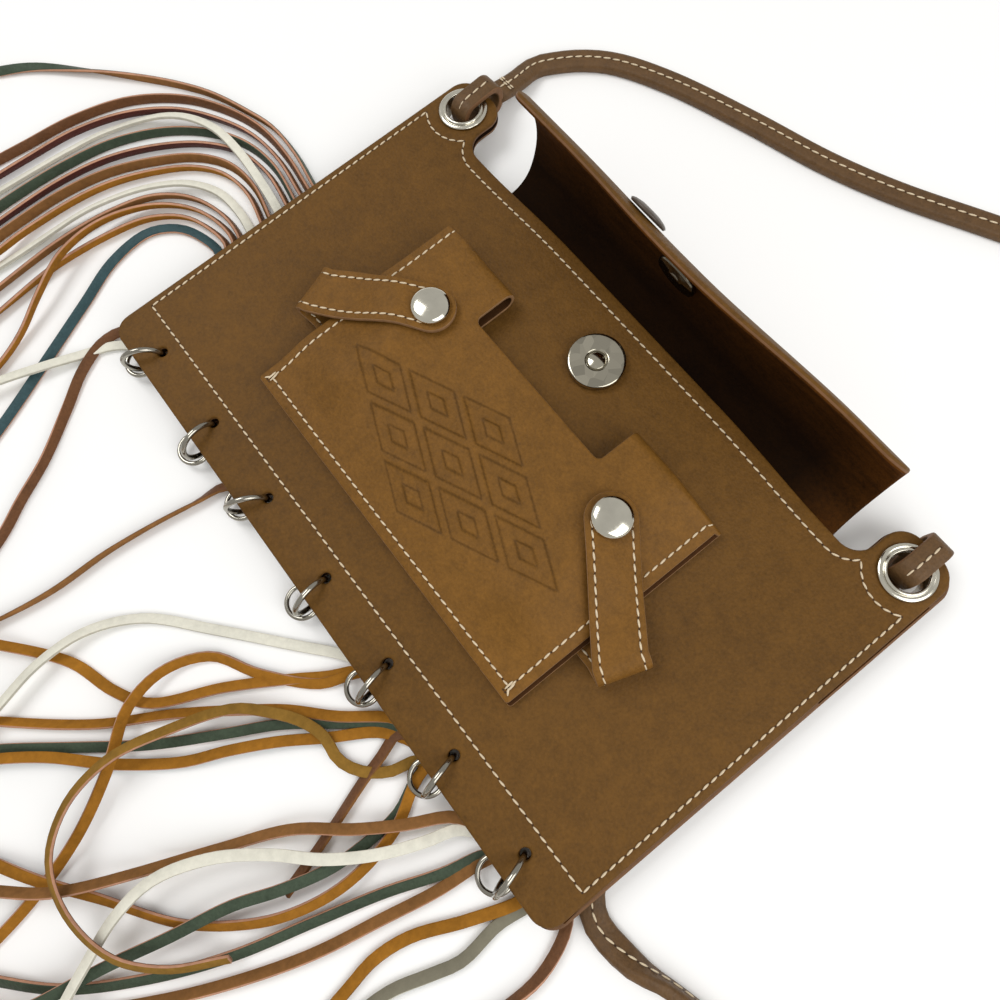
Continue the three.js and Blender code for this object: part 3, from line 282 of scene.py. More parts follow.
# Where painted light makes the flap's suede paler, from and to, in metres up and along the row's frame
PAINTED_LIGHT_Z = (0.016, 0.048)
PAINTED_LIGHT_X = (0.008, 0.03)

SIDES = (("left", -1), ("right", 1))
# Order of a sheet's finishes, and of the strap's
GRAIN, FLESH, CUT = range(3)
STRAP_GRAIN, STRAP_CUT = range(2)


def bag_frame():
    """Matrix from bag millimetres to the row's metres, from the place of the catch."""
    low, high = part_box("magnet_socket")
    middle = (low + high) / 2
    seat = front_top(0, MAGNET_Y) + CLEAR
    origin = Vector((middle.x, middle.y - MM * MAGNET_Y, low.z - MM * seat))
    return Matrix.Translation(origin) @ Matrix.Scale(MM, 4)


# Forms shared by the pieces


def clamp(value, low, high):
    return max(low, min(high, value))


def lerp(a, b, t):
    return a + (b - a) * t


def ease(t):
    t = clamp(t, 0, 1)
    return t * t * (3 - 2 * t)


def on_plan(heading, length):
    return Vector((cos(radians(heading)) * length, sin(radians(heading)) * length, 0))


def swell(x, y):
    return ease((SWELL_EDGE_X - abs(x)) / SWELL_RISE_X) * ease(y / SWELL_RISE_Y)


def back_under(x, y):
    return BACK_Z - BACK_SAG * swell(x, y)


def front_top(x, y):
    return FRONT_Z + LEATHER + FRONT_SWELL * swell(x, y)


def front_place(x, y, h):
    return Vector((x, y, front_top(x, y) - LEATHER + h))


def flap_at(s):
    """Place of the flap's outer face at a distance along it from the mouth, and its heading there."""
    y = MOUTH_Y + min(s, FLAP_LEAD)
    z = BACK_Z
    heading = 0.0
    left = s - FLAP_LEAD
    for radius, turn in FLAP_ARCS:
        length = radius * radians(turn)
        swept = clamp(left, 0, length) / radius
        y += radius * (sin(heading + swept) - sin(heading))
        z += radius * (cos(heading) - cos(heading + swept))
        heading += swept
        left -= length
    return y, z, heading


def flap_wave(x, s):
    """How far the flap leans out of its plain curl, most at its free edge."""
    depth_in, from_in, over_in = FLAP_WAVE_IN
    depth_out, from_out, over_out = FLAP_WAVE_OUT
    inward = depth_in * ease((x - from_in) / over_in)
    outward = depth_out * ease((x - from_out) / over_out)
    return (outward - inward) * (max(s, 0) / FLAP_LENGTH) ** 2


def back_place(x, y, h):
    """Back panel and, past the mouth between the ears, the flap that grows out of it."""
    if y <= MOUTH_Y or abs(x) > FLAP_RIGHT_X + FLAP_MARGIN:
        return Vector((x, y, back_under(x, y) + h))
    s = y - MOUTH_Y
    at_y, at_z, heading = flap_at(s)
    sag = BACK_SAG * swell(x, MOUTH_Y) * (1 - ease(s / FLAP_SETTLE))
    return Vector((x, at_y + flap_wave(x, s) - h * sin(heading), at_z - sag + h * cos(heading)))


def tab_lift(x, y):
    across = ease((abs(x - HOLDER_X) - TAB_LIFT_X[0]) / TAB_LIFT_X[1])
    along = ease((TAB_LIFT_Y[0] - abs(y - TAB_BEND_Y)) / TAB_LIFT_Y[1])
    return (TAB_LEATHER + CLEAR) * across * along


def corner_curl(x, y):
    """Rise of the holder's top left corner, which curls up off the panel."""
    across = ease((CURL_X[0] - x) / CURL_X[1])
    along = ease((y - CURL_Y[0]) / CURL_Y[1])
    return CURL_RISE * across * along


def holder_under(x, y):
    return front_top(x, y) + HOLDER_SEAT + tab_lift(x, y) + corner_curl(x, y)


def holder_gap(x, y):
    from_side = ease((HOLDER_HALF_WIDTH - abs(x - HOLDER_X)) / HOLDER_SIDE_RISE)
    from_bottom = ease((y - HOLDER_Y) / HOLDER_BOTTOM_RISE)
    return CLEAR + (HOLDER_GAP - CLEAR) * from_side * from_bottom


def holder_top(x, y):
    return holder_under(x, y) + 2 * HOLDER_LEATHER + holder_gap(x, y)


def fold_at(x):
    """Where the holder's leaves run into its fold, whose nose is straight."""
    fold_y = HOLDER_Y + HOLDER_HEIGHT
    return fold_y + (HOLDER_GAP - holder_gap(x, fold_y)) / 2


def tooling(x, y):
    """How deep the tooled panel is pressed at a place, from 0 to 1."""
    u = (x - HOLDER_X) / TOOLING_HALF_X
    v = (y - TOOLING_Y) / TOOLING_HALF_Y
    a = (u + v + 1) / 2 * TOOLING_CELLS
    b = (u - v + 1) / 2 * TOOLING_CELLS
    if not (0 < a < TOOLING_CELLS and 0 < b < TOOLING_CELLS):
        return 0
    a -= floor(a)
    b -= floor(b)
    from_border = min(a, 1 - a, b, 1 - b)
    from_middle = max(abs(a - 0.5), abs(b - 0.5))
    in_from_border = ease((from_border - TOOLING_BORDER) / TOOLING_BORDER)
    out_from_island = ease((from_middle - TOOLING_ISLAND) / TOOLING_BORDER)
    return in_from_border * out_from_island


def leaf_y(x, s):
    return lerp(HOLDER_Y, fold_at(x), s / HOLDER_HEIGHT)


def holder_place(x, s, h, depth=0.0):
    """Card holder: front leaf, fold over the top, and back leaf, for a place on the flat strip."""
    leaf_end = HOLDER_HEIGHT + FOLD_LENGTH
    fold_y = fold_at(x)
    if s <= HOLDER_HEIGHT:
        y = leaf_y(x, s)
        pressed = depth * tooling(x, y) * ease((h - HOLDER_LEATHER / 2) / (HOLDER_LEATHER / 2))
        drawn = LEAF_DRAW * ease((x - HOLDER_X - LEAF_DRAW_FROM) / (HOLDER_HALF_WIDTH - LEAF_DRAW_FROM))
        return Vector((x - drawn, y, holder_under(x, y) + HOLDER_LEATHER + holder_gap(x, y) + h - pressed))
    if s >= leaf_end:
        y = lerp(fold_y, HOLDER_Y, (s - leaf_end) / HOLDER_HEIGHT)
        return Vector((x, y, holder_under(x, y) + HOLDER_LEATHER - h))
    half_gap = holder_gap(x, fold_y) / 2
    middle = holder_under(x, fold_y) + HOLDER_LEATHER + half_gap
    angle = pi * (s - HOLDER_HEIGHT) / FOLD_LENGTH
    return Vector((x, fold_y + (half_gap + h) * sin(angle), middle + (half_gap + h) * cos(angle)))


def over_holder(x, y):
    nearest = HOLDER_X + clamp(x - HOLDER_X, -HOLDER_HALF_WIDTH, HOLDER_HALF_WIDTH)
    return holder_top(nearest, y) + TAB_SEAT


def tab_place(side, s, w, h):
    """Place on a tab at s along it, w across it and h in from its outer face; its bend lies slanted."""
    bend_x = HOLDER_X + side * TAB_BEND_X
    tilt = radians(TAB_TILT)
    slant = tan(tilt / 2) * w
    turn = clamp((s - slant - TAB_LOWER) / TAB_BEND_LENGTH, 0, 1)
    if turn <= 0:
        x = bend_x - side * (TAB_LOWER - s)
        y = TAB_BEND_Y + w
        return Vector((x, y, front_top(x, y) + CLEAR + h))
    if turn >= 1:
        run = s - TAB_LOWER - TAB_BEND_LENGTH
        x = bend_x + side * (w * sin(tilt) - run * cos(tilt))
        y = TAB_BEND_Y + w * cos(tilt) + run * sin(tilt)
        return Vector((x, y, over_holder(x, y) + TAB_LEATHER - h))
    x = bend_x + side * slant
    y = TAB_BEND_Y + w
    low_z = front_top(x, y) + CLEAR + TAB_LEATHER
    high_z = over_holder(x, y)
    radius = (high_z - low_z) / 2 + TAB_LEATHER - h
    bulge = radius * sin(pi * turn)
    z = (high_z + low_z) / 2 - radius * cos(pi * turn)
    return Vector((x + side * bulge * cos(tilt / 2), y - bulge * sin(tilt / 2), z))


def ring_x(i):
    return (i - (RING_COUNT - 1) / 2) * RING_PITCH


def ring_frame(i):
    """Yaw and centre of a panel ring, centre of its link, and place and turn of the thongs' head."""
    yaw, head = RINGS[i]
    hole = Vector((ring_x(i), RING_HOLE_Y, (BACK_Z + FRONT_Z + LEATHER) / 2))
    outward = on_plan(yaw - 90, 1)
    aside = on_plan(yaw - 180, 1)
    centre = hole + outward * (RING_RADIUS + RING_SLACK)
    link = hole + outward * LINK_REACH + aside * LINK_ASIDE
    link.z = LINK_Z
    return yaw, centre, link, link + on_plan(head, LINK_RADIUS), head


BAG = bag_frame()


class Route:
    """A smooth line through listed points, walked by its length."""

    SAMPLES = 24

    def __init__(self, points):
        points = [Vector(p) for p in points]
        before = 2 * points[0] - points[1]
        after = 2 * points[-1] - points[-2]
        chain = [before, *points, after]
        spots = []
        for i in range(1, len(chain) - 2):
            count = self.SAMPLES + (i == len(chain) - 3)
            spots += [self.between(chain[i - 1 : i + 3], k / self.SAMPLES) for k in range(count)]
        self.spots = np.array(spots)
        steps = np.linalg.norm(np.diff(self.spots, axis=0), axis=1)
        self.lengths = np.concatenate([[0], np.cumsum(steps)])
        self.length = float(self.lengths[-1])

    @staticmethod
    def between(near, t):
        """Centripetal Catmull-Rom between the middle two of four points."""
        p0, p1, p2, p3 = near
        d0, d1, d2 = (sqrt((b - a).length) for a, b in ((p0, p1), (p1, p2), (p2, p3)))
        m1 = ((p1 - p0) / d0 - (p2 - p0) / (d0 + d1) + (p2 - p1) / d1) * d1
        m2 = ((p2 - p1) / d1 - (p3 - p1) / (d1 + d2) + (p3 - p2) / d2) * d1
        return p1 + m1 * t + (3 * (p2 - p1) - 2 * m1 - m2) * t**2 + (2 * (p1 - p2) + m1 + m2) * t**3

    def at(self, s):
        return Vector([float(np.interp(s, self.lengths, self.spots[:, k])) for k in range(3)])

    def along(self, s):
        reach = 0.6
        low = clamp(s - reach, 0, self.length)
        high = clamp(s + reach, 0, self.length)
        return (self.at(high) - self.at(low)).normalized()


# Leather sheets: a drawn outline with rounded edges, cut in cells and then formed

Arc = namedtuple("Arc", "x y radius start end")
ARC_STEP = 9
# Tolerances: a vertex on a cell's line, an edge that runs along none, and vertices made one
ON_PLANE = 0.02
SLANTED = 0.01
WELD = 0.001
# How far a face has to look up or down not to count as edge: with the edge's rounding, and without
WHOLE_EDGE = 0.8
FINE_EDGE = 0.3


def outline_points(arcs, inset):
    """Points of an outline of arcs joined by straight lines, drawn in by inset."""
    points = []
    for arc in arcs:
        turn = arc.end - arc.start
        radius = arc.radius - inset if turn > 0 else arc.radius + inset
        steps = max(3, ceil(abs(turn) / ARC_STEP))
        count = steps if abs(turn) == 360 else steps + 1
        for i in range(count):
            angle = radians(arc.start + turn * i / steps)
            points.append((arc.x + radius * cos(angle), arc.y + radius * sin(angle)))
    return points


def hole(x, y, radius):
    return [Arc(x, y, radius, 0, -360)]


def box_arcs(x0, y0, x1, y1, radius, inside=False):
    """Rounded rectangle, as an outline or, inside, as a hole."""
    corners = [
        Arc(x1 - radius, y0 + radius, radius, -90, 0),
        Arc(x1 - radius, y1 - radius, radius, 0, 90),
        Arc(x0 + radius, y1 - radius, radius, 90, 180),
        Arc(x0 + radius, y0 + radius, radius, 180, 270),
    ]
    if not inside:
        return corners
    return [Arc(c.x, c.y, c.radius, c.end, c.start) for c in reversed(corners)]


def sheet_levels(thickness, rounding):
    """Inset and height of each ring of a sheet's rounded edge, from its underside to its top."""
    bend = rounding * (1 - sqrt(0.5))
    low = [(rounding, 0), (bend, bend), (0, rounding)]
    return low + [(inset, thickness - height) for inset, height in reversed(low)]


def leather_sheet(loops, thickness, rounding, cells_x, cells_y):
    """A flat closed sheet, its faces cut where the cells' lines cross it."""
    bm = bmesh.new()
    rings = []
    for inset, height in sheet_levels(thickness, rounding):
        ring = []
        for arcs in loops:
            verts = [bm.verts.new((x, y, height)) for x, y in outline_points(arcs, inset)]
            ring.append([bm.edges.new(pair) for pair in zip(verts, verts[1:] + verts[:1])])
        rings.append(ring)
    for lower, upper in zip(rings, rings[1:]):
        for low_loop, high_loop in zip(lower, upper):
            bmesh.ops.bridge_loops(bm, edges=low_loop + high_loop)
    for ring in (rings[0], rings[-1]):
        edges = [edge for loop in ring for edge in loop]
        bmesh.ops.triangle_fill(bm, edges=edges, use_beauty=True, normal=(0, 0, 1))
    for axis, cells in ((Vector((1, 0, 0)), cells_x), (Vector((0, 1, 0)), cells_y)):
        for cell in cells:
            geometry = bm.verts[:] + bm.edges[:] + bm.faces[:]
            bmesh.ops.bisect_plane(bm, geom=geometry, plane_co=axis * cell, plane_no=axis, dist=ON_PLANE)
    bmesh.ops.recalc_face_normals(bm, faces=bm.faces)
    return bm


def spread(low, high, pitch):
    """Even cell lines between two places, no further apart than the pitch."""
    count = ceil((high - low) / pitch)
    return [lerp(low, high, i / count) for i in range(1, count)]


def paint_sides(bm, top, under, edge, limit=WHOLE_EDGE):
    """Gives the top, the underside and the cut edge of a flat sheet their materials."""
    for face in bm.faces:
        rise = face.normal.z
        face.material_index = top if rise > limit else under if rise < -limit else edge


def move(bm, matrix):
    bmesh.ops.transform(bm, matrix=matrix, verts=bm.verts)


def form(bm, place):
    for vert in bm.verts:
        vert.co = place(*vert.co)


def strip_blank(width, thickness, rounding, steps):
    """A straight strip from 0 to 1 along X, with rounded long edges, ready to be formed."""
    bm = bmesh.new()
    bmesh.ops.create_cube(bm, size=1)
    move(bm, Matrix.Diagonal((1, width, thickness, 1)))
    move(bm, Matrix.Translation((0.5, 0, 0)))
    bmesh.ops.bevel(
        bm, geom=long_edges(bm), offset=rounding, offset_type="OFFSET", segments=2, profile=0.5,
        affect="EDGES", material=-1,
    )
    bmesh.ops.subdivide_edges(bm, edges=long_edges(bm), cuts=steps - 1, use_grid_fill=True)
    bmesh.ops.recalc_face_normals(bm, faces=bm.faces)
    return bm


def long_edges(bm):
    """Edges along a blank, which is 1 long."""
    return [edge for edge in bm.edges if abs(edge.verts[0].co.x - edge.verts[1].co.x) > 0.5]


def spun(bm, steps):
    """Takes a drawn section once round Z."""
    bmesh.ops.spin(
        bm, geom=bm.verts[:] + bm.edges[:], cent=(0, 0, 0), axis=(0, 0, 1), angle=2 * pi, steps=steps,
        use_merge=True,
    )
    bmesh.ops.remove_doubles(bm, verts=bm.verts, dist=WELD)
    bmesh.ops.recalc_face_normals(bm, faces=bm.faces)
    return bm


def turned(profile, steps=LATHE_STEPS, closed=False):
    """A lathe piece about Z from radius and height pairs."""
    bm = bmesh.new()
    verts = [bm.verts.new((r, 0, z)) for r, z in profile]
    for pair in zip(verts, verts[1:]):
        bm.edges.new(pair)
    if closed:
        bm.edges.new((verts[-1], verts[0]))
    return spun(bm, steps)


def wire_ring(radius, wire):
    bm = bmesh.new()
    stand = Matrix.Translation((radius, 0, 0)) @ Matrix.Rotation(pi / 2, 4, "X")
    bmesh.ops.create_circle(bm, segments=WIRE_SIDES, radius=wire, matrix=stand)
    return spun(bm, RING_STEPS)


def stand_on(spot, normal):
    """Matrix that sets a turned piece's foot on a spot, its axis along the normal."""
    return Matrix.Translation(spot) @ Vector((0, 0, 1)).rotation_difference(normal).to_matrix().to_4x4()


def on_edge(width):
    """Matrix that stands a flat sheet on its edge, its width halved by the upright plane."""
    return Matrix.Rotation(pi / 2, 4, "X") @ Matrix.Translation((0, 0, -width / 2))


def turn_z(degrees):
    return Matrix.Rotation(radians(degrees), 4, "Z")


def make_piece(bm, name, materials, nodes):
    """Turns a bag-frame bmesh into a piece of the part that stands for CAD nodes."""
    move(bm, BAG)
    for face in bm.faces:
        face.smooth = True
    mesh = bpy.data.meshes.new(name)
    bm.to_mesh(mesh)
    bm.free()
    return add_piece(mesh, name, materials, nodes)


def add_piece(mesh, name, materials, nodes):
    for material in materials:
        mesh.materials.append(material)
    piece = bpy.data.objects.new(name, mesh)
    bpy.context.scene.collection.objects.link(piece)
    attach(piece, "root")
    if nodes:
        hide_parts(*nodes)
    return piece


# Stitching: a stitch and the dark disc of painted shade at its needle hole, in thread widths, and the disc's
# rise off the leather

THREAD_HEIGHT = 0.8
THREAD_LIFT = 0.22
HOLE_LENGTH = 0.8
HOLE_WIDTH = 0.95
HOLE_RISE = 0.04


def walk(plan, pitch):
    """Even steps along a drawn line: both ends of each, in the line's own plane."""
    route_lengths = [0.0]
    for a, b in zip(plan, plan[1:]):
        route_lengths.append(route_lengths[-1] + hypot(b[0] - a[0], b[1] - a[1]))
    count = max(1, round(route_lengths[-1] / pitch))
    xs = [p[0] for p in plan]
    ys = [p[1] for p in plan]
    steps = []
    for i in range(count):
        ends = [k / count * route_lengths[-1] for k in (i, i + 1)]
        steps.append([tuple(float(np.interp(s, route_lengths, axis)) for axis in (xs, ys)) for s in ends])
    return steps


def sewn_run(plan, pitch, place, outer, inner):
    """Stitches along a line on a formed sheet: both ends and the outward direction of each."""
    run = []
    for start, end in walk(plan, pitch):
        a = place(start[0], start[1], outer)
        b = place(end[0], end[1], outer)
        up = (a - place(start[0], start[1], inner)).normalized()
        run.append((a, b, up))
    return run


class Scatter:
    """Copies of small shapes, gathered into one mesh."""

    def __init__(self):
        self.verts = []
        self.faces = []
        self.tones = []
        self.count = 0

    @staticmethod
    def shape(maker):
        """Vertices and faces of a small shape that is to be repeated."""
        bm = bmesh.new()
        maker(bm)
        bm.verts.index_update()
        verts = np.array([vert.co for vert in bm.verts])
        faces = [[vert.index for vert in face.verts] for face in bm.faces]
        bm.free()
        return verts, faces

    def add(self, shape, axes, spot, tone):
        verts, faces = shape
        self.verts.append(verts @ np.array(axes) + np.array(spot))
        self.faces += [[self.count + k for k in face] for face in faces]
        self.tones += [tone] * len(faces)
        self.count += len(verts)

    def mesh(self, name):
        points = np.concatenate(self.verts) @ np.array(BAG.to_3x3()).T + np.array(BAG.translation)
        mesh = bpy.data.meshes.new(name)
        mesh.from_pydata(points.tolist(), [], self.faces)
        mesh.polygons.foreach_set("material_index", self.tones)
        mesh.polygons.foreach_set("use_smooth", [True] * len(self.tones))
        mesh.update()
        return mesh


def sew(name, runs, sizes, materials):
    """One mesh of stitches along the runs, with a dark disc of painted shade at each needle hole."""
    bead = Scatter.shape(lambda bm: bmesh.ops.create_uvsphere(bm, u_segments=8, v_segments=5, radius=0.5))
    hole_shade_disc = Scatter.shape(lambda bm: bmesh.ops.create_circle(bm, cap_ends=True, segments=8, radius=0.5))
    width = sizes.thread_width / MM
    scatter = Scatter()
    for run in runs:
        for a, b, up in run:
            along = b - a
            side = up.cross(along).normalized()
            way = (along + side * width * sizes.stitch_slant).normalized()
            across = up.cross(way).normalized()
            long = along.length * sizes.stitch_reach
            axes = (across * width, up * (THREAD_HEIGHT * width), way * long)
            scatter.add(bead, axes, (a + b) / 2 + up * (THREAD_LIFT * width), 0)
            # Painted shade: a dark disc at the needle hole where each stitch starts
            axes = (along.normalized() * (HOLE_LENGTH * width), side * (HOLE_WIDTH * width), up)
            scatter.add(hole_shade_disc, axes, a + up * HOLE_RISE, 1)
    return add_piece(scatter.mesh(name), name, materials, ())


# Finishes


class Shade:
    """A socket in a material's tree. Sums, differences and products of shades add Math nodes."""

    # The part of a noise's range that its values mostly lie in
    NOISE_LOW = 0.3
    NOISE_HIGH = 0.7
    # A Mix node's sockets for a colour mix come after those for numbers and vectors
    MIX_FACTOR = 0
    MIX_LOW = 6
    MIX_HIGH = 7
    MIX_COLOUR = 2

    def __init__(self, tree, socket=None):
        self.tree = tree
        self.socket = socket

    def node(self, kind, settings, inputs, output=0):
        """Adds a node: its settings first, then the values or links of its sockets."""
        node = self.tree.nodes.new(kind)
        for name, value in settings.items():
            setattr(node, name, value)
        for name, value in inputs.items():
            if isinstance(value, Shade):
                self.tree.links.new(value.socket, node.inputs[name])
            else:
                node.inputs[name].default_value = value
        return Shade(self.tree, node.outputs[output])

    def math(self, operation, a, b):
        return self.node("ShaderNodeMath", {"operation": operation}, {0: a, 1: b})

    def __add__(self, other):
        return self.math("ADD", self, other)

    def __sub__(self, other):
        return self.math("SUBTRACT", self, other)

    def __rsub__(self, other):
        return self.math("SUBTRACT", other, self)

    def __mul__(self, other):
        return self.math("MULTIPLY", self, other)

    __radd__ = __add__
    __rmul__ = __mul__

    def noise(self, scale, detail=4, roughness=0.6):
        return self.node(
            "ShaderNodeTexNoise", {},
            {"Vector": self, "Scale": scale, "Detail": detail, "Roughness": roughness}, "Fac",
        )

    def cells(self, scale):
        return self.node("ShaderNodeTexVoronoi", {}, {"Vector": self, "Scale": scale}, "Distance")

    def stretched(self, scale):
        return self.node("ShaderNodeMapping", {}, {"Vector": self, "Scale": scale}, "Vector")

    def ramp(self, low, high):
        """From 0 to 1 as this shade goes from low to high."""
        sockets = {"Value": self, "From Min": low, "From Max": high}
        return self.node("ShaderNodeMapRange", {"clamp": True}, sockets, "Result")

    def blend(self, low, high):
        """Colour from low to high as this shade goes from 0 to 1."""
        sockets = {self.MIX_FACTOR: self, self.MIX_LOW: low, self.MIX_HIGH: high}
        return self.node("ShaderNodeMix", {"data_type": "RGBA"}, sockets, self.MIX_COLOUR)

    def between(self, low, high):
        """Colour from low to high over the middle of a noise."""
        return self.ramp(self.NOISE_LOW, self.NOISE_HIGH).blend(low, high)

    def bump(self, strength, depth):
        sockets = {"Height": self, "Strength": strength, "Distance": depth}
        return self.node("ShaderNodeBump", {}, sockets, "Normal")


def finish(recipe):
    """Turns a recipe into a function that gives the material of a name, made when first asked for."""

    def material_of(name, *values, **options):
        material = bpy.data.materials.get(name)
        if material:
            return material
        material = bpy.data.materials.new(name)
        material.use_nodes = True
        tree = material.node_tree
        surface = tree.nodes["Principled BSDF"]
        spot = Shade(tree).node("ShaderNodeTexCoord", {}, {}, "Object")
        for socket, value in recipe(spot, *values, **options).items():
            if isinstance(value, Shade):
                tree.links.new(value.socket, surface.inputs[socket])
            else:
                surface.inputs[socket].default_value = value
        return material

    return material_of


def tone(colour, factor):
    return (colour[0] * factor, colour[1] * factor, colour[2] * factor, 1)


@finish
def grained_leather(spot, colour, gloss=0.46, sheen=0.15, tooled=False):
    """Waxed leather: cloudy colour, dark pores, fine pebbled grain, gloss that varies a little; tooled
    leather also gets painted shade on the slopes of its pressed lozenges.
    """
    clouds = spot.noise(14, 3)
    mottle = spot.noise(240, 4)
    pebble = spot.cells(1150)
    creases = spot.noise(1000, 5, 0.75)
    shade = clouds * 0.24 + mottle * 0.3 + creases * 0.46
    if tooled:
        pressed = spot.node("ShaderNodeAttribute", {"attribute_name": "pressed"}, {}, "Fac")
        # Painted shade: darker on the slopes of the tooled lozenges, most half way down
        shade = shade - pressed * (1 - pressed) * 0.6
    return {
        "Base Color": shade.between(tone(colour, 0.58), tone(colour, 1.42)),
        "Roughness": gloss + mottle * 0.16,
        "Normal": (pebble * 0.6 + creases).bump(0.5, 0.0003),
        "Specular IOR Level": sheen,
    }


@finish
def suede(spot, colour, depth=0.45):
    """Flesh side of leather: matt, with a short nap of the given depth of tone."""
    nap = spot.noise(420, 6, 0.7)
    brushed = spot.noise(46, 3)
    fibres = nap * 0.55 + brushed * 0.45
    return {
        "Base Color": fibres.between(tone(colour, 1 - depth), tone(colour, 1 + depth)),
        "Roughness": 0.86 + nap * 0.1,
        "Normal": nap.bump(0.5, 0.0003),
        "Specular IOR Level": 0.1,
    }


@finish
def flap_suede(spot, colour):
    """Dark flesh side of the back panel, with painted light that makes it paler up towards the free edge and
    the right end of its flap, and painted shade that keeps it dark low near the mouth.
    """
    nap = spot.noise(800, 5, 0.8)
    brushed = spot.stretched((60, 60, 260)).noise(1, 4)
    fibres = nap * 0.55 + brushed * 0.45
    height = spot.node("ShaderNodeSeparateXYZ", {}, {0: spot}, "Z")
    along = spot.node("ShaderNodeSeparateXYZ", {}, {0: spot}, "X")
    # Painted light and shade: paler higher up the flap and towards its right end, darker low near the mouth
    painted_light = height.ramp(*PAINTED_LIGHT_Z) * 0.85 + along.ramp(*PAINTED_LIGHT_X) * 0.45
    dark = fibres.between(tone(colour, 0.2), tone(colour, 0.7))
    pale = fibres.between(tone(colour, 1.2), tone(colour, 8))
    return {
        "Base Color": painted_light.blend(dark, pale),
        "Roughness": 0.8 + nap * 0.15,
        "Normal": nap.bump(0.5, 0.0003),
        "Specular IOR Level": 0.08,
    }


@finish
def cut_edge(spot, colour):
    """Cut leather: paler fibres in layers, lightly burnished."""
    layers = spot.stretched((60, 60, 900)).noise(1, 4)
    fibres = spot.noise(520, 4)
    return {
        "Base Color": (layers * 0.5 + fibres * 0.5).between(tone(colour, 0.72), tone(colour, 1.25)),
        "Roughness": 0.5 + fibres * 0.2,
        "Normal": (layers + fibres).bump(0.25, 0.0002),
        "Specular IOR Level": 0.25,
    }


@finish
def waxed_thread(spot, colour):
    strands = spot.noise(1500, 3)
    return {
        "Base Color": strands.between(tone(colour, 0.8), tone(colour, 1.12)),
        "Roughness": 0.55 + strands * 0.2,
        "Normal": strands.bump(0.4, 0.0002),
    }


@finish
def polished_nickel(spot, colour, gloss, wear=0.1):
    """Nickel plate with faint handling marks."""
    marks = spot.stretched((300, 900, 300)).noise(1, 5)
    haze = spot.noise(120, 3)
    return {
        "Base Color": haze.between(tone(colour, 0.88), tone(colour, 1.06)),
        "Metallic": 1,
        "Roughness": gloss + marks * wear + haze * (wear / 2),
        "Normal": marks.bump(0.4 * wear, 0.0001),
    }


@finish
def painted_shade_plate(spot, colour):
    """Painted shade: a dark finish that is not metal, set on the cap in place of its nickel to stand in for
    its shade and dark reflection, and varying a little in tone.
    """
    haze = spot.noise(160, 3)
    return {
        "Base Color": haze.between(tone(colour, 0.8), tone(colour, 1.25)),
        "Roughness": 0.3 + haze * 0.15,
        "Specular IOR Level": 0.4,
    }


@finish
def nickel_with_facet_sheen(spot, colour):
    """Nickel plate with painted reflection: each small flat patch gets a brightness of its own, standing in
    for the sheen that its tilt catches.
    """
    facet_sheen = spot.node("ShaderNodeTexVoronoi", {}, {"Vector": spot, "Scale": 290}, "Color")
    shade = spot.node("ShaderNodeSeparateXYZ", {}, {0: facet_sheen}, "X")
    return {
        # Painted reflection: the patch brightness goes into the base colour
        "Base Color": shade.blend(tone(colour, 0.78), tone(colour, 1.2)),
        "Metallic": 1,
        "Roughness": 0.08 + shade * 0.06,
        "Normal": shade.bump(0.04, 0.0001),
    }


# Painted shade: the dark inside of a needle hole, put on a flat disc
@finish
def needle_hole(spot, colour):
    shade = spot.noise(900, 2)
    return {"Base Color": shade.between(tone(colour, 0.5), tone(colour, 1.2)), "Roughness": 0.9}


@finish
def floor_paper(spot, colour):
    shade = spot.noise(3, 2)
    return {"Base Color": shade.between(tone(colour, 0.99), tone(colour, 1)), "Roughness": 0.9}


def body_finishes(colours):
    """Grain side, flesh side and cut edge of the two panels."""
    return [
        grained_leather("panel_grain", colours.leather),
        # The flap's flesh side carries painted light and shade
        flap_suede("panel_suede", colours.suede),
        cut_edge("panel_cut", colours.cut_edge),
    ]


def holder_finishes(colours):
    """Grain side, flesh side and cut edge of the card holder and the tabs."""
    return [
        # The holder's grain carries painted shade on the tooling's slopes
        grained_leather("holder_grain", colours.holder, tooled=True),
        suede("holder_suede", colours.holder_suede),
        cut_edge("holder_cut", colours.pale_edge),
    ]


def seam_finishes(colours):
    return [waxed_thread("cream_thread", colours.thread), needle_hole("needle_hole", colours.hole)]


# Body panels


def body_arcs(half_width):
    """Outline of a panel, from the left neck round the bag to the right neck."""
    ear_outer = half_width - EAR_RADIUS
    ear_inner = EAR_INNER_X + EAR_RADIUS
    ear_y = EAR_TOP_Y - EAR_RADIUS
    neck_x = EAR_INNER_X - EAR_RADIUS
    neck_y = MOUTH_Y + EAR_RADIUS
    corner_x = half_width - CORNER_RADIUS
    corner_y = BOTTOM_Y + CORNER_RADIUS
    return [
        Arc(-neck_x, neck_y, EAR_RADIUS, -90, -180),
        Arc(-ear_inner, ear_y, EAR_RADIUS, 0, 90),
        Arc(-ear_outer, ear_y, EAR_RADIUS, 90, 180),
        Arc(-corner_x, corner_y, CORNER_RADIUS, 180, 270),
        Arc(corner_x, corner_y, CORNER_RADIUS, 270, 360),
        Arc(ear_outer, ear_y, EAR_RADIUS, 0, 90),
        Arc(ear_inner, ear_y, EAR_RADIUS, 90, 180),
        Arc(neck_x, neck_y, EAR_RADIUS, 0, -90),
    ]


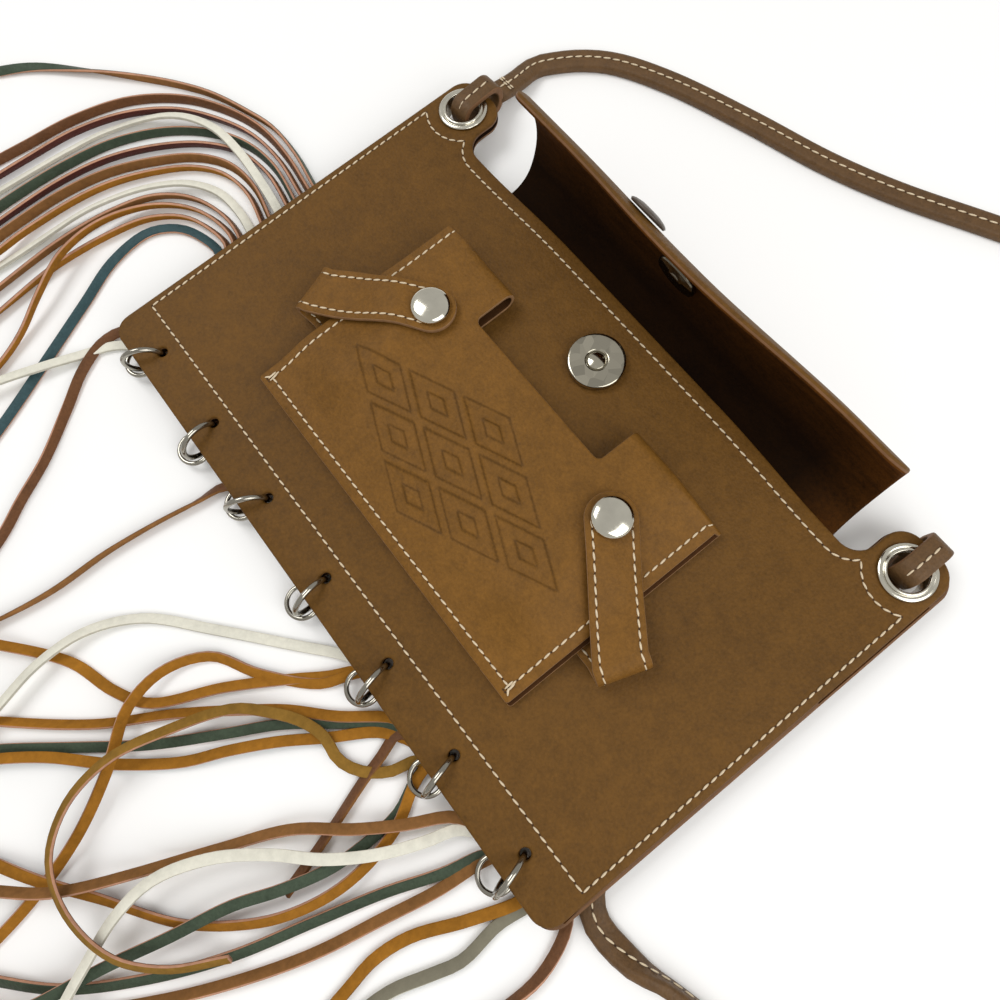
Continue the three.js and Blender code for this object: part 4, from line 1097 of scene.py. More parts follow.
def flap_arcs():
    """Outline of the flap on the flat leather, from its right root round its end to its left root."""
    root = 1.0
    end_y = MOUTH_Y + FLAP_LENGTH
    small = FLAP_CORNER / 2
    return [
        Arc(FLAP_RIGHT_X + root, MOUTH_Y + root, root, -90, -180),
        Arc(FLAP_RIGHT_X - FLAP_TAPER - FLAP_CORNER, end_y - FLAP_CORNER, FLAP_CORNER, 0, 90),
        Arc(FLAP_LEFT_X + small, end_y - small, small, 90, 180),
        Arc(FLAP_LEFT_X - root, MOUTH_Y + root, root, 0, -90),
    ]


def panel_holes():
    holes = [hole(ring_x(i), RING_HOLE_Y, RING_PUNCH_RADIUS) for i in range(RING_COUNT)]
    eyelet = GROMMET_INNER + GROMMET_WALL + CLEAR
    return holes + [hole(side * GROMMET_X, GROMMET_Y, eyelet) for _, side in SIDES]


def panel_sheet(arcs, top_y, rounding):
    cells_x = spread(-HALF_WIDTH, HALF_WIDTH, PANEL_CELL)
    cells_y = spread(BOTTOM_Y, MOUTH_Y, PANEL_CELL) + spread(MOUTH_Y, top_y, FLAP_CELL)
    return leather_sheet([arcs, *panel_holes()], LEATHER, rounding, cells_x, cells_y)


def eyelet_seam(side):
    """Stitch line from the side seam round under an eyelet and along the neck to the mouth."""

    def spot(x, y, radius, angle):
        return side * (x + radius * cos(radians(angle))), y + radius * sin(radians(angle))

    angles = np.linspace(*SEAM_EYELET_TURN, 12)
    under = [spot(GROMMET_X, GROMMET_Y, SEAM_EYELET_RADIUS, angle) for angle in angles]
    first, last = SEAM_NECK_TURN
    neck = []
    for angle in np.linspace(first, last, 8):
        inset = lerp(SEAM_NECK_INSET, SEAM_MOUTH_INSET, (angle - first) / (last - first))
        neck.append(spot(EAR_INNER_X - EAR_RADIUS, MOUTH_Y + EAR_RADIUS, EAR_RADIUS + inset, angle))
    return under, neck


def body_seams(pitch, place, outer, inner):
    left_eye, left_neck = eyelet_seam(-1)
    right_eye, right_neck = eyelet_seam(1)
    plans = [
        [(-SEAM_X, 0), (SEAM_X, 0)],
        [(-SEAM_X, 0), left_eye[0]],
        [(SEAM_X, 0), right_eye[0]],
        left_eye,
        right_eye,
        left_neck + right_neck[::-1],
    ]
    return [sewn_run(plan, pitch, place, outer, inner) for plan in plans]


# Fringe: a row for each thong in the order that they lie, with the lean in degrees where it leaves the bag,
# half way on and at its end, the dyes of its grain side, flesh side and cut edge, and its way over the floor

Thong = namedtuple("Thong", "ring lean grain flesh edge route")

THONGS = [
    Thong(1, (20, -25, -20), "teal", "ochre", "rose", [
        (-106, 6), (-110, 20), (-117.5, 27.5), (-127, 26.5), (-136, 22), (-142, 12.5), (-140.5, -3),
        (-133, -19), (-125, -36), (-113, -62), (-106, -80)]),
    Thong(1, (70, 75, 40), "chestnut", "ochre", "rose", [
        (-105, 9), (-109, 23.5), (-117.5, 31.3), (-128, 30.5), (-138, 26), (-146, 16), (-150, 2),
        (-152, -20), (-150, -42), (-147, -68)]),
    Thong(1, (70, 75, 60), "chestnut", "ochre", "rose", [
        (-104, 12), (-108, 27), (-117.5, 34.2), (-129, 34), (-140.5, 29), (-149.5, 19), (-154, 4),
        (-151, -14), (-143, -29), (-136, -43), (-130, -60), (-125, -82)]),
    Thong(1, (5, 12, 10), "white", "white", "ivory", [
        (-108, -14), (-113, -20), (-117, -31), (-121, -44), (-125, -58), (-130, -84)]),
    Thong(1, (-30, -75, -60), "chestnut", "chestnut", "rose", [
        (-108, -10), (-114.5, -13), (-116, -21), (-111.5, -32), (-103, -43), (-92, -58), (-85, -71),
        (-79, -81), (-73, -96)]),
    Thong(2, (75, 75, 60), "chestnut", "tan", "rose", [
        (-75, 0), (-95, 19.5), (-108, 32.5), (-118, 36.8), (-130, 37), (-143, 32), (-152.5, 22),
        (-157.5, 7), (-159.5, -14), (-158, -40), (-156, -66)]),
    Thong(2, (20, 30, 15), "white", "white", "ivory", [
        (-75, 3), (-94, 23.5), (-107.5, 36.8), (-118, 40.9), (-129, 42), (-138, 40.5), (-148, 33.5),
        (-156, 21), (-161.5, 4), (-164.5, -15), (-166, -36), (-168, -62)]),
    Thong(2, (75, 75, 70), "chestnut", "ochre", "rose", [
        (-75, 6), (-93, 28.5), (-106.5, 42), (-118, 46), (-131, 48.5), (-143, 46.5), (-153, 39.5),
        (-161, 28), (-168, 12), (-171, -5), (-171, -22), (-169, -34), (-168, -58)]),
    Thong(2, (-75, -75, -70), "tan", "chestnut", "rose", [
        (-73, 9), (-91, 32), (-105, 45), (-118, 48.8), (-132, 51.5), (-145, 49.8), (-156, 42.5), (-165, 30),
        (-172.5, 14), (-176, -3), (-176.5, -22), (-175, -52)]),
    Thong(3, (75, 75, 60), "chestnut", "burgundy", "rose", [
        (-48, 0), (-72, 29), (-96, 49), (-107, 53.8), (-118, 56.6), (-133, 58.5), (-147, 55.8),
        (-159, 47.5), (-169.5, 34), (-177.5, 17), (-181, -1), (-181.5, -22), (-180, -54)]),
    Thong(3, (-75, -75, -60), "sage", "tan", "rose", [
        (-47, 2), (-71, 31.5), (-95, 51.8), (-107, 56.7), (-118, 59.3), (-134, 61.5), (-148, 59.3),
        (-161, 52.3), (-173, 40), (-182, 22.5), (-186, 2), (-187, -20), (-186, -50)]),
    Thong(4, (75, 75, 60), "chestnut", "burgundy", "rose", [
        (-14, -4), (-50, 31.5), (-88, 54.5), (-106, 60.5), (-118, 62.5), (-134, 64.5), (-149, 63.3),
        (-163, 58), (-178, 48), (-189.5, 32.5), (-196, 14), (-198, -6), (-199, -24), (-200, -50)]),
    Thong(4, (-75, -75, -60), "chestnut", "tan", "rose", [
        (-13, -1), (-48, 35.5), (-88, 58), (-105, 63.5), (-118, 65.4), (-134, 67.4), (-150, 66.8),
        (-165, 62), (-181, 52), (-194, 36), (-201, 16), (-203.5, -4), (-205.5, -20), (-208, -44)]),
    Thong(3, (15, 25, 20), "white", "white", "ivory", [
        (-48, -2), (-72, 26.5), (-96, 45.2), (-107, 50.4), (-118, 52.8), (-131, 54.3), (-145, 55),
        (-159, 53.5), (-172, 47), (-182.5, 36), (-188.5, 23), (-191, 8), (-192.5, -8), (-193.5, -22),
        (-195, -48)]),
    Thong(4, (75, 85, -50), "sage", "tan", "rose", [
        (-12, 2), (-46, 40), (-86, 61.5), (-105, 66.2), (-118, 68.2), (-133, 70.6), (-147, 70.6),
        (-160, 67), (-175, 61.5), (-187, 54.5), (-203, 42.5), (-218, 30), (-233, 15.5), (-241, 3),
        (-248, -12)]),
    Thong(3, (70, 80, 60), "chestnut", "tan", "tan", [
        (-46.5, -16), (-48, -26), (-50.5, -40), (-52.5, -57), (-53, -77), (-56, -95), (-62, -118)]),
    Thong(6, (-15, -20, -10), "sage", "tan", "rose", [
        (52, -13.5), (43.5, -17.5), (33, -30.5), (24, -42.5), (16, -57), (5, -76), (-8, -94), (-22, -113),
        (-34, -132)]),
    Thong(6, (10, 20, 25), "ochre", "teal", "rose", [
        (52, -14.5), (44, -20.5), (36, -33), (28, -45), (21, -58), (15, -71), (4, -86), (-11, -102),
        (-22, -118), (-31, -138)]),
    Thong(6, (25, 40, 50), "ochre", "ochre", "rose", [
        (51, -12), (44, -14.5), (32.5, -28), (22, -38.5), (13.5, -49.5), (2, -66), (-10, -86), (-28, -108),
        (-44, -125)]),
    Thong(5, (20, 30, 30), "ochre", "ochre", "rose", [
        (25, -17), (22, -23), (15, -33.5), (5, -50), (-5, -70), (-15, -77), (-30, -83), (-49, -98),
        (-66, -114)]),
    Thong(5, (-30, -50, -40), "ochre", "chestnut", "rose", [
        (25.5, -18), (22, -26.5), (8, -39.5), (-5, -48), (-10, -61), (-7, -74), (4, -87), (13, -103),
        (19, -122), (22, -137), (24, -158)]),
    Thong(5, (10, 25, 20), "white", "white", "ivory", [
        (23, -14), (18, -17.5), (9, -25.5), (-11, -43), (-28, -59), (-35, -74), (-35, -90), (-31, -108),
        (-28, -128)]),
    Thong(7, (-25, -30, -30), "sage", "tan", "rose", [
        (87.5, -17), (84.5, -28), (78.5, -44), (72.5, -64), (66, -86), (57, -107), (44, -129), (27, -147)]),
    Thong(7, (35, 50, 40), "tan", "ochre", "rose", [
        (88.5, -19), (87, -32), (83.5, -48), (79, -68), (72, -88), (63, -108), (52, -127), (36, -145),
        (17, -162)]),
    Thong(6, (35, 45, 30), "chestnut", "ochre", "tan", [
        (52, -13), (47.5, -17), (49.3, -23.5), (51.5, -31.5), (56, -45), (60, -58), (62.2, -66)]),
    Thong(6, (-30, -40, 20), "ochre", "burgundy", "rose", [
        (61, -20.5), (67, -31), (70, -44), (69.5, -57), (64, -74), (51, -93), (30, -109), (5, -128),
        (-14, -143)]),
    Thong(6, (-10, -15, -15), "sage", "tan", "rose", [
        (60.5, -20), (64.5, -29), (65.3, -40), (64.5, -51), (60.5, -65), (55.5, -78), (51.5, -96),
        (47, -114), (42.5, -136), (37, -152)]),
    Thong(7, (30, 45, 50), "tan", "ochre", "rose", [
        (82, -12.5), (75, -16.5), (68, -28.5), (60.5, -40), (50, -54), (41, -75), (32, -96), (22, -116),
        (10, -131), (-2, -149)]),
    Thong(7, (10, 15, 30), "white", "white", "ivory", [
        (83.5, -13.5), (78, -18), (75, -26.5), (69.5, -38.5), (61, -51.5), (51.5, -62), (42, -76),
        (37, -91), (38.5, -104), (44, -117), (49, -128), (55, -144)]),
    Thong(7, (5, 30, 40), "grey", "grey", "ivory", [
        (86, -6.5), (88.5, 0.5), (96, 3.5), (103, -1), (105, -12), (103.5, -24), (104.5, -37), (102, -46),
        (98.5, -58), (98.5, -80), (103, -102)]),
    Thong(7, (10, 20, 40), "ochre", "ochre", "tan", [
        (86.5, -6), (89, 0), (96, 2), (102, -4), (103, -14), (98, -29.5), (91.5, -45), (90, -56),
        (91.5, -66), (94, -82), (98, -104)]),
    Thong(7, (20, 75, 70), "chestnut", "tan", "rose", [
        (85.5, -6), (88, 1), (95.5, 3.5), (104, -0.5), (110.5, -5.5), (115, -10), (118.3, -17), (120, -25),
        (119.5, -36), (117.5, -50), (117, -72)]),
    Thong(6, (10, 35, 50), "olive", "chestnut", "rose", [
        (56, -18), (54.5, -24), (49.5, -30.5), (43, -33.8), (35, -33.3), (28, -35.8), (21, -41),
        (12.5, -50), (6, -68), (3, -84), (6, -99), (15, -109), (29, -112), (46, -108), (58, -98), (66, -85)]),
]

PALE_DYES = ("white", "ivory", "grey")
DYES = ("ochre", "tan", "chestnut", "rose", "white", "ivory", "grey", "sage", "teal", "burgundy", "olive")
SUEDED = ("ochre", "tan", "olive")
PALE_NAP = 0.16
DYED_NAP = 0.34
THONG_GLOSS = 0.38


def thong_finishes(colours):
    """A leather for each dye: cut, napped or smooth."""
    finishes = []
    for dye in DYES:
        colour = getattr(colours, dye)
        if dye == "rose":
            finishes.append(cut_edge("thong_rose", colour))
        elif dye in PALE_DYES:
            finishes.append(suede(f"thong_{dye}", colour, PALE_NAP))
        elif dye in SUEDED:
            finishes.append(suede(f"thong_{dye}", colour, DYED_NAP))
        else:
            finishes.append(grained_leather(f"thong_{dye}", colour, THONG_GLOSS))
    return finishes


def lean_at(lean, s, leave, length):
    """Flat at the head, leaning where it leaves the bag, and turning on its way to the free end."""
    start = max(leave - LEAN_LENGTH, 0)
    full = start + LEAN_LENGTH
    half = (full + length) / 2
    if s < full:
        return radians(lean[0] * ease((s - start) / LEAN_LENGTH))
    if s < half:
        return radians(lerp(lean[0], lean[1], ease((s - full) / (half - full))))
    return radians(lerp(lean[1], lean[2], ease((s - half) / (length - half))))


class LaidThong:
    """A thong on the floor and on those laid before it: its route, and its height and lean along that."""

    def __init__(self, thong, tops):
        head = ring_frame(thong.ring - 1)[3]
        self.route = Route([(head.x, head.y, 0), *[(x, y, 0) for x, y in thong.route]])
        self.thong = thong
        self.length = self.route.length
        knots = ceil(self.length / THONG_STEP)
        # Steps of about a millimetre between the knots
        fine = THONG_STEP
        self.steps = np.linspace(0, self.length, knots * fine + 1)
        spots = [self.route.at(s) for s in self.steps]
        half_width = HALF_WIDTH + BACK_MARGIN
        under = [i for i, p in enumerate(spots) if abs(p.x) < half_width and p.y > BOTTOM_Y]
        self.leave = self.length * (under[-1] + 1 if under else 0) / (knots * fine)
        ways = [self.route.along(s) for s in self.steps]
        cells = [self.cells(p, way, self.lean(s)) for p, way, s in zip(spots, ways, self.steps)]
        floors = np.array([self.floor(tops, c, s) for c, s in zip(cells, self.steps)])
        slopes = DRAPE_SLOPE * np.abs(self.steps[None, :] - self.steps[:, None])
        lifted = np.max(floors[None, :] - slopes, axis=1)
        reach = ceil(DRAPE_WINDOW * fine)
        near = [lifted[max(0, i * fine - reach) : i * fine + reach + 1] for i in range(knots + 1)]
        self.knots = self.steps[::fine]
        self.heights = np.array([HEAD_Z] + [float(np.max(part)) for part in near[1:]])
        for c, s in zip(cells, self.steps):
            top = float(np.interp(s, self.knots, self.heights)) + self.half(s)
            for key, rise in c:
                tops.setdefault(key, []).append((thong.ring, top + rise))

    def lean(self, s):
        return lean_at(self.thong.lean, s, self.leave, self.length)

    def half(self, s):
        return THONG_LEATHER / 2 * cos(self.lean(s))

    @staticmethod
    def cells(spot, way, lean):
        """Floor cells that a thong covers at one place, each with its rise above the middle."""
        reach = THONG_WIDTH / 2 + DRAPE_MARGIN
        edge = abs(sin(lean)) * THONG_LEATHER / 2
        covered = []
        for k in range(-DRAPE_SPOTS, DRAPE_SPOTS + 1):
            w = k / DRAPE_SPOTS * reach
            for e in (-edge, 0, edge):
                across = w * cos(lean) + e
                key = (round(spot.x - way.y * across), round(spot.y + way.x * across))
                covered.append((key, w * sin(lean)))
        return covered

    def floor(self, tops, cells, s):
        half = self.half(s)
        z = THONG_WIDTH / 2 * abs(sin(self.lean(s))) + half + FLOOR_CLEAR
        near_head = s < self.leave + HEAD_REACH
        for key, rise in cells:
            for ring, top in tops.get(key, ()):
                if not (ring == self.thong.ring and near_head):
                    z = max(z, top + THONG_CLEAR - rise + half)
        return z

    def height(self, s):
        """Height of the middle, rounded off between the places that carry it."""
        spots = s + np.linspace(-DRAPE_ROUND, DRAPE_ROUND, DRAPE_ROUND_SPOTS)
        window = np.clip(spots, 0, self.length)
        return float(np.mean(np.interp(window, self.knots, self.heights)))

    def mesh(self, rounding, step):
        """The strip as a bag-frame bmesh, its faces numbered by dye."""
        steps = ceil(self.length / step)
        bm = strip_blank(THONG_WIDTH, THONG_LEATHER, rounding, steps)
        sides = (DYES.index(name) for name in (self.thong.grain, self.thong.flesh, self.thong.edge))
        paint_sides(bm, *sides, FINE_EDGE)
        stations = []
        for i in range(steps + 1):
            s = self.length * i / steps
            spot = self.route.at(s)
            spot.z = self.height(s)
            way = self.route.along(s)
            stations.append((spot, Vector((-way.y, way.x, 0)), self.lean(s)))

        def place(t, w, h):
            spot, side, lean = stations[round(t * steps)]
            up = Vector((0, 0, 1))
            return spot + side * (w * cos(lean) - h * sin(lean)) + up * (w * sin(lean) + h * cos(lean))

        form(bm, place)
        return bm


def thong_head(ring):
    """Leather loop that holds a ring's thongs on its link."""
    head, turn = ring_frame(ring - 1)[3:]
    outline = [Arc(0, 0, HEAD_OUTER, 0, 360)]
    bm = leather_sheet([outline, hole(0, 0, HEAD_INNER)], THONG_WIDTH, HEAD_ROUND, (), ())
    cut = DYES.index("rose")
    paint_sides(bm, cut, cut, DYES.index("chestnut"))
    move(bm, Matrix.Translation(head) @ turn_z(turn) @ on_edge(THONG_WIDTH))
    return bm


def joined(parts):
    """One bmesh of several."""
    whole = bmesh.new()
    for bm in parts:
        mesh = bpy.data.meshes.new("part")
        bm.to_mesh(mesh)
        bm.free()
        whole.from_mesh(mesh)
        bpy.data.meshes.remove(mesh)
    return whole


# Strap

STRAP_ROUTE = [
    (-105.2, 156.5), (-102.5, 162.5), (-96.5, 171), (-87.5, 179), (-69, 188), (-39, 197.5), (-9.5, 205.5),
    (13, 214), (42, 228), (110, 260), (200, 282), (288, 268), (342, 208), (352, 130), (318, 60), (258, 22),
    (200, 12), (162, 8), (145, 3.8), (130, -1.5), (119, -2.8), (112, 1), (106, 11), (101.5, 28), (98.5, 60),
    (100, 95),
]


def strap_route():
    reach, heading = LEFT_LOOP
    left_eye = Vector((-GROMMET_X, GROMMET_Y, 0))
    start = left_eye + on_plan(heading, reach - LOOP_LEATHER / 2) + Vector((0, 0, LEAD_Z[0]))
    lead = left_eye + on_plan(heading, reach + LEAD_LENGTH) + Vector((0, 0, LEAD_Z[1]))
    reach, heading = RIGHT_LOOP
    end = Vector((GROMMET_X, GROMMET_Y, STRAP_Z)) + on_plan(heading, reach / 2)
    return Route([start, lead, *[(x, y, STRAP_Z) for x, y in STRAP_ROUTE], end])


def strap_roll(left):
    """Turn of the strap about its own length at a distance from its end."""
    near = ease((left - EDGE_NEAR[0]) / EDGE_NEAR[1])
    far = ease((left - EDGE_FAR[0]) / EDGE_FAR[1])
    return radians(EDGE_ROLL) * near * (1 - far)


def strap_place(route):
    """Places on the strap by length along it, width across it and height over its middle."""

    def place(s, w, h):
        way = route.along(s)
        roll = strap_roll(route.length - s)
        side = Matrix.Rotation(roll, 3, way) @ Vector((-way.y, way.x, 0)).normalized()
        lift = STRAP_WIDTH / 2 * sin(roll) - STRAP_THICK / 2 * (1 - cos(roll))
        spot = route.at(s)
        spot.z = max(spot.z, STRAP_Z) + lift
        return spot + side * w + way.cross(side) * h

    return place


def strap_loop(side, loop):
    """Band that runs down through an eyelet and back over the bag's edge."""
    reach, heading = loop
    outer = box_arcs(LOOP_START, LOOP_LOW_Z, reach, LOOP_HIGH_Z, LOOP_RADIUS)
    t = LOOP_LEATHER
    inner = box_arcs(
        LOOP_START + t, LOOP_LOW_Z + t, reach - t, LOOP_HIGH_Z - t, LOOP_RADIUS - t / 2, inside=True,
    )
    bm = leather_sheet([outer, inner], STRAP_WIDTH, LOOP_ROUND, (), ())
    paint_sides(bm, STRAP_CUT, STRAP_CUT, STRAP_GRAIN)
    eye = Matrix.Translation((side * GROMMET_X, GROMMET_Y, 0))
    move(bm, eye @ turn_z(heading) @ on_edge(STRAP_WIDTH))
    return bm


def loop_seam(side, loop, pitch):
    """Stitches along the middle of a loop's upper run and down into its eyelet."""
    reach, heading = loop
    eye = Vector((side * GROMMET_X, GROMMET_Y, 0))
    way = on_plan(heading, 1)
    bend = LOOP_START + LOOP_RADIUS
    straight = reach - LOOP_RADIUS - bend

    def place(s, w, h):
        if s < straight:
            return eye + way * (reach - LOOP_RADIUS - s) + Vector((0, 0, LOOP_HIGH_Z + h))
        angle = (s - straight) / LOOP_RADIUS
        radius = LOOP_RADIUS + h
        rise = Vector((0, 0, LOOP_HIGH_Z - LOOP_RADIUS + radius * cos(angle)))
        return eye + way * (bend - radius * sin(angle)) + rise

    return sewn_run([(-1, 0), (straight + LOOP_RADIUS, 0)], pitch, place, 0, -1)


# Settings


def length(name, description, default):
    return bpy.props.FloatProperty(
        name=name, description=description, default=default, min=0, precision=5,
        subtype="DISTANCE", unit="LENGTH",
    )


def power(name, description, default):
    return bpy.props.FloatProperty(name=name, description=description, default=default, min=0, unit="POWER")


def share(name, description, default):
    return bpy.props.FloatProperty(
        name=name, description=description, default=default, min=0, subtype="FACTOR",
    )


def colour(name, description, default):
    return bpy.props.FloatVectorProperty(
        name=name, description=description, default=default, size=3, min=0, max=1, subtype="COLOR",
    )


class BagSizes(bpy.types.PropertyGroup):
    """Sizes of the stitching, the edges and the tooling."""

    stitch_pitch: length("Stitch pitch", "From one needle hole to the next", 0.0029)
    thread_width: length("Thread width", "Width of a stitch", 0.00064)
    stitch_reach: share("Stitch reach", "Length of a stitch as a share of its pitch", 0.82)
    stitch_slant: share("Stitch slant", "How far a stitch leans out of its line, in thread widths", 0.5)
    edge_round: length("Edge round", "Rounding of the panels' burnished edges", 0.0007)
    fine_round: length("Fine round", "Rounding of the holder's and tabs' cut edges", 0.0004)
    thong_round: length("Thong round", "Rounding of a thong's edges", 0.00025)
    thong_step: length("Thong step", "Length of one facet along a thong", 0.003)
    tooling_depth: length("Tooling depth", "How deep the tooled lozenges are pressed", 0.0006)


class BagColours(bpy.types.PropertyGroup):
    """Colours of the leathers, the thread and the metal."""

    leather: colour("Leather", "Grain side of the bag", (0.12, 0.055, 0.0095))
    suede: colour("Suede", "Flesh side of the back panel and its flap", (0.022, 0.0075, 0.0009))
    cut_edge: colour("Cut edge", "Cut edges of the panels", (0.17, 0.082, 0.034))
    holder: colour("Holder", "Grain side of the card holder and the tabs", (0.17, 0.077, 0.013))
    holder_suede: colour("Holder suede", "Flesh side inside the card holder", (0.05, 0.02, 0.006))
    pale_edge: colour("Pale edge", "Cut edges of the card holder and the tabs", (0.27, 0.15, 0.07))
    strap: colour("Strap", "Grain side of the strap", (0.108, 0.056, 0.02))
    thread: colour("Thread", "Waxed sewing thread", (0.66, 0.54, 0.37))
    # Painted shade: the dark of a needle hole, on the discs at the stitches
    hole: colour("Needle hole", "Inside of a needle hole", (0.05, 0.022, 0.006))
    nickel: colour("Nickel", "Plated fittings", (0.7, 0.67, 0.57))
    wire: colour("Wire", "Plated rings", (0.36, 0.34, 0.29))
    catch: colour("Catch", "Face of the catch", (0.44, 0.41, 0.33))
    # Painted shade: a darkened copy of the nickel for the flap's half of the catch, standing in for its shade
    # and dark reflection
    shaded_nickel: colour("Shaded nickel", "Half of the catch on the flap", (0.16, 0.142, 0.11))
    # Painted shade: the dark of the nickel cap outside the flap, in a finish that is not metal
    lacquer: colour("Lacquer", "Cap outside the flap", (0.085, 0.066, 0.05))
    ochre: colour("Ochre", "Ochre thongs", (0.3, 0.128, 0.016))
    tan: colour("Tan", "Tan thongs", (0.23, 0.108, 0.036))
    chestnut: colour("Chestnut", "Chestnut thongs", (0.145, 0.062, 0.025))
    rose: colour("Rose", "Cut edges of the thongs", (0.46, 0.24, 0.15))
    white: colour("White", "White thongs", (0.72, 0.7, 0.6))
    ivory: colour("Ivory", "Cut edges of the white thongs", (0.5, 0.48, 0.4))
    grey: colour("Grey", "Grey thongs", (0.2, 0.185, 0.135))
    sage: colour("Sage", "Green thongs", (0.05, 0.07, 0.045))
    teal: colour("Teal", "Blue-green thongs", (0.036, 0.073, 0.08))
    burgundy: colour("Burgundy", "Dark red thongs", (0.075, 0.016, 0.01))
    olive: colour("Olive", "Olive thongs", (0.24, 0.13, 0.025))


class StudioLook(bpy.types.PropertyGroup):
    """Light and floor around the bag."""

    floor: colour("Floor", "Plain pale floor", (0.94, 0.94, 0.93))
    sky: share("Sky light", "Strength of the even light from all round", 0.55)
    key: power("Key light", "Power of the soft light on the left", 6.2)
    key_size: length("Key size", "Side of the soft light on the left", 0.6)
    fill: power("Fill light", "Power of the soft light on the right", 4.8)
    fill_size: length("Fill size", "Side of the soft light on the right", 0.7)


# Operators


class FRINGEBAG_OT_stage(bpy.types.Operator):
    """Set the camera, the soft light and the pale floor"""

    bl_idname = "fringe_bag.stage"
    bl_label = "Studio"

    def execute(self, context):
        look = context.scene.studio_look
        self.camera(context)
        self.lights(context, look)
        self.floor(context, look)
        return {"FINISHED"}

    def camera(self, context):
        data = bpy.data.cameras.new("photo_camera")
        data.lens = CAMERA_LENS
        data.sensor_width = CAMERA_SENSOR
        data.clip_start = CAMERA_NEAR
        camera = bpy.data.objects.new("photo_camera", data)
        turn = Matrix((CAMERA_RIGHT, -CAMERA_DOWN, -CAMERA_VIEW)).transposed().to_4x4()
        camera.matrix_world = Matrix.Translation(BAG @ CAMERA_SPOT) @ turn
        context.scene.collection.objects.link(camera)
        context.scene.camera = camera

    def lights(self, context, look):
        self.softbox(context, "key_light", look.key, look.key_size, KEY_OFFSET)
        self.softbox(context, "fill_light", look.fill, look.fill_size, FILL_OFFSET)
        world = bpy.data.worlds.new("even_light")
        world.use_nodes = True
        background = world.node_tree.nodes["Background"]
        background.inputs["Color"].default_value = SKY_TINT
        background.inputs["Strength"].default_value = look.sky
        context.scene.world = world
        context.scene.view_settings.view_transform = "Standard"

    def softbox(self, context, name, energy, size, offset):
        """A square soft light that looks at the bag from its offset."""
        data = bpy.data.lights.new(name, "AREA")
        data.energy = energy
        data.size = size
        light = bpy.data.objects.new(name, data)
        aim = BAG @ LIGHT_AIM
        right, down, rise = offset
        spot = aim + right * CAMERA_RIGHT + down * CAMERA_DOWN + Vector((0, 0, rise))
        turn = (spot - aim).to_track_quat("Z", "Y").to_matrix().to_4x4()
        light.matrix_world = Matrix.Translation(spot) @ turn
        context.scene.collection.objects.link(light)

    def floor(self, context, look):
        bm = bmesh.new()
        bmesh.ops.create_grid(bm, x_segments=1, y_segments=1, size=FLOOR_HALF_SIDE)
        mesh = bpy.data.meshes.new("pale_floor")
        bm.to_mesh(mesh)
        bm.free()
        mesh.materials.append(floor_paper("floor_paper", look.floor))
        floor_plane = bpy.data.objects.new("pale_floor", mesh)
        context.scene.collection.objects.link(floor_plane)


class FRINGEBAG_OT_body(bpy.types.Operator):
    """Cut, form and sew the front panel and the back panel with its flap"""

    bl_idname = "fringe_bag.body"
    bl_label = "Body panels"

    def execute(self, context):
        sizes = context.scene.bag_sizes
        colours = context.scene.bag_colours
        finishes = body_finishes(colours)
        rounding = sizes.edge_round / MM
        front = panel_sheet(body_arcs(HALF_WIDTH), EAR_TOP_Y, rounding)
        paint_sides(front, GRAIN, FLESH, CUT, FINE_EDGE)
        form(front, front_place)
        make_piece(front, "front_panel_leather", finishes, ["front_panel"])
        outline = body_arcs(HALF_WIDTH + BACK_MARGIN) + flap_arcs()
        back = panel_sheet(outline, MOUTH_Y + FLAP_LENGTH, rounding)
        paint_sides(back, FLESH, GRAIN, CUT, FINE_EDGE)
        for face in back.faces:
            if abs(face.calc_center_median().x) > HALF_WIDTH - BACK_EDGE_INSET:
                face.material_index = CUT
        form(back, back_place)
        make_piece(back, "back_panel_leather", finishes, ["back_panel_flap"])
        pitch = sizes.stitch_pitch / MM
        runs = body_seams(pitch, front_place, LEATHER, 0) + body_seams(pitch, back_place, 0, LEATHER)
        sew("body_stitches", runs, sizes, seam_finishes(colours))
        return {"FINISHED"}


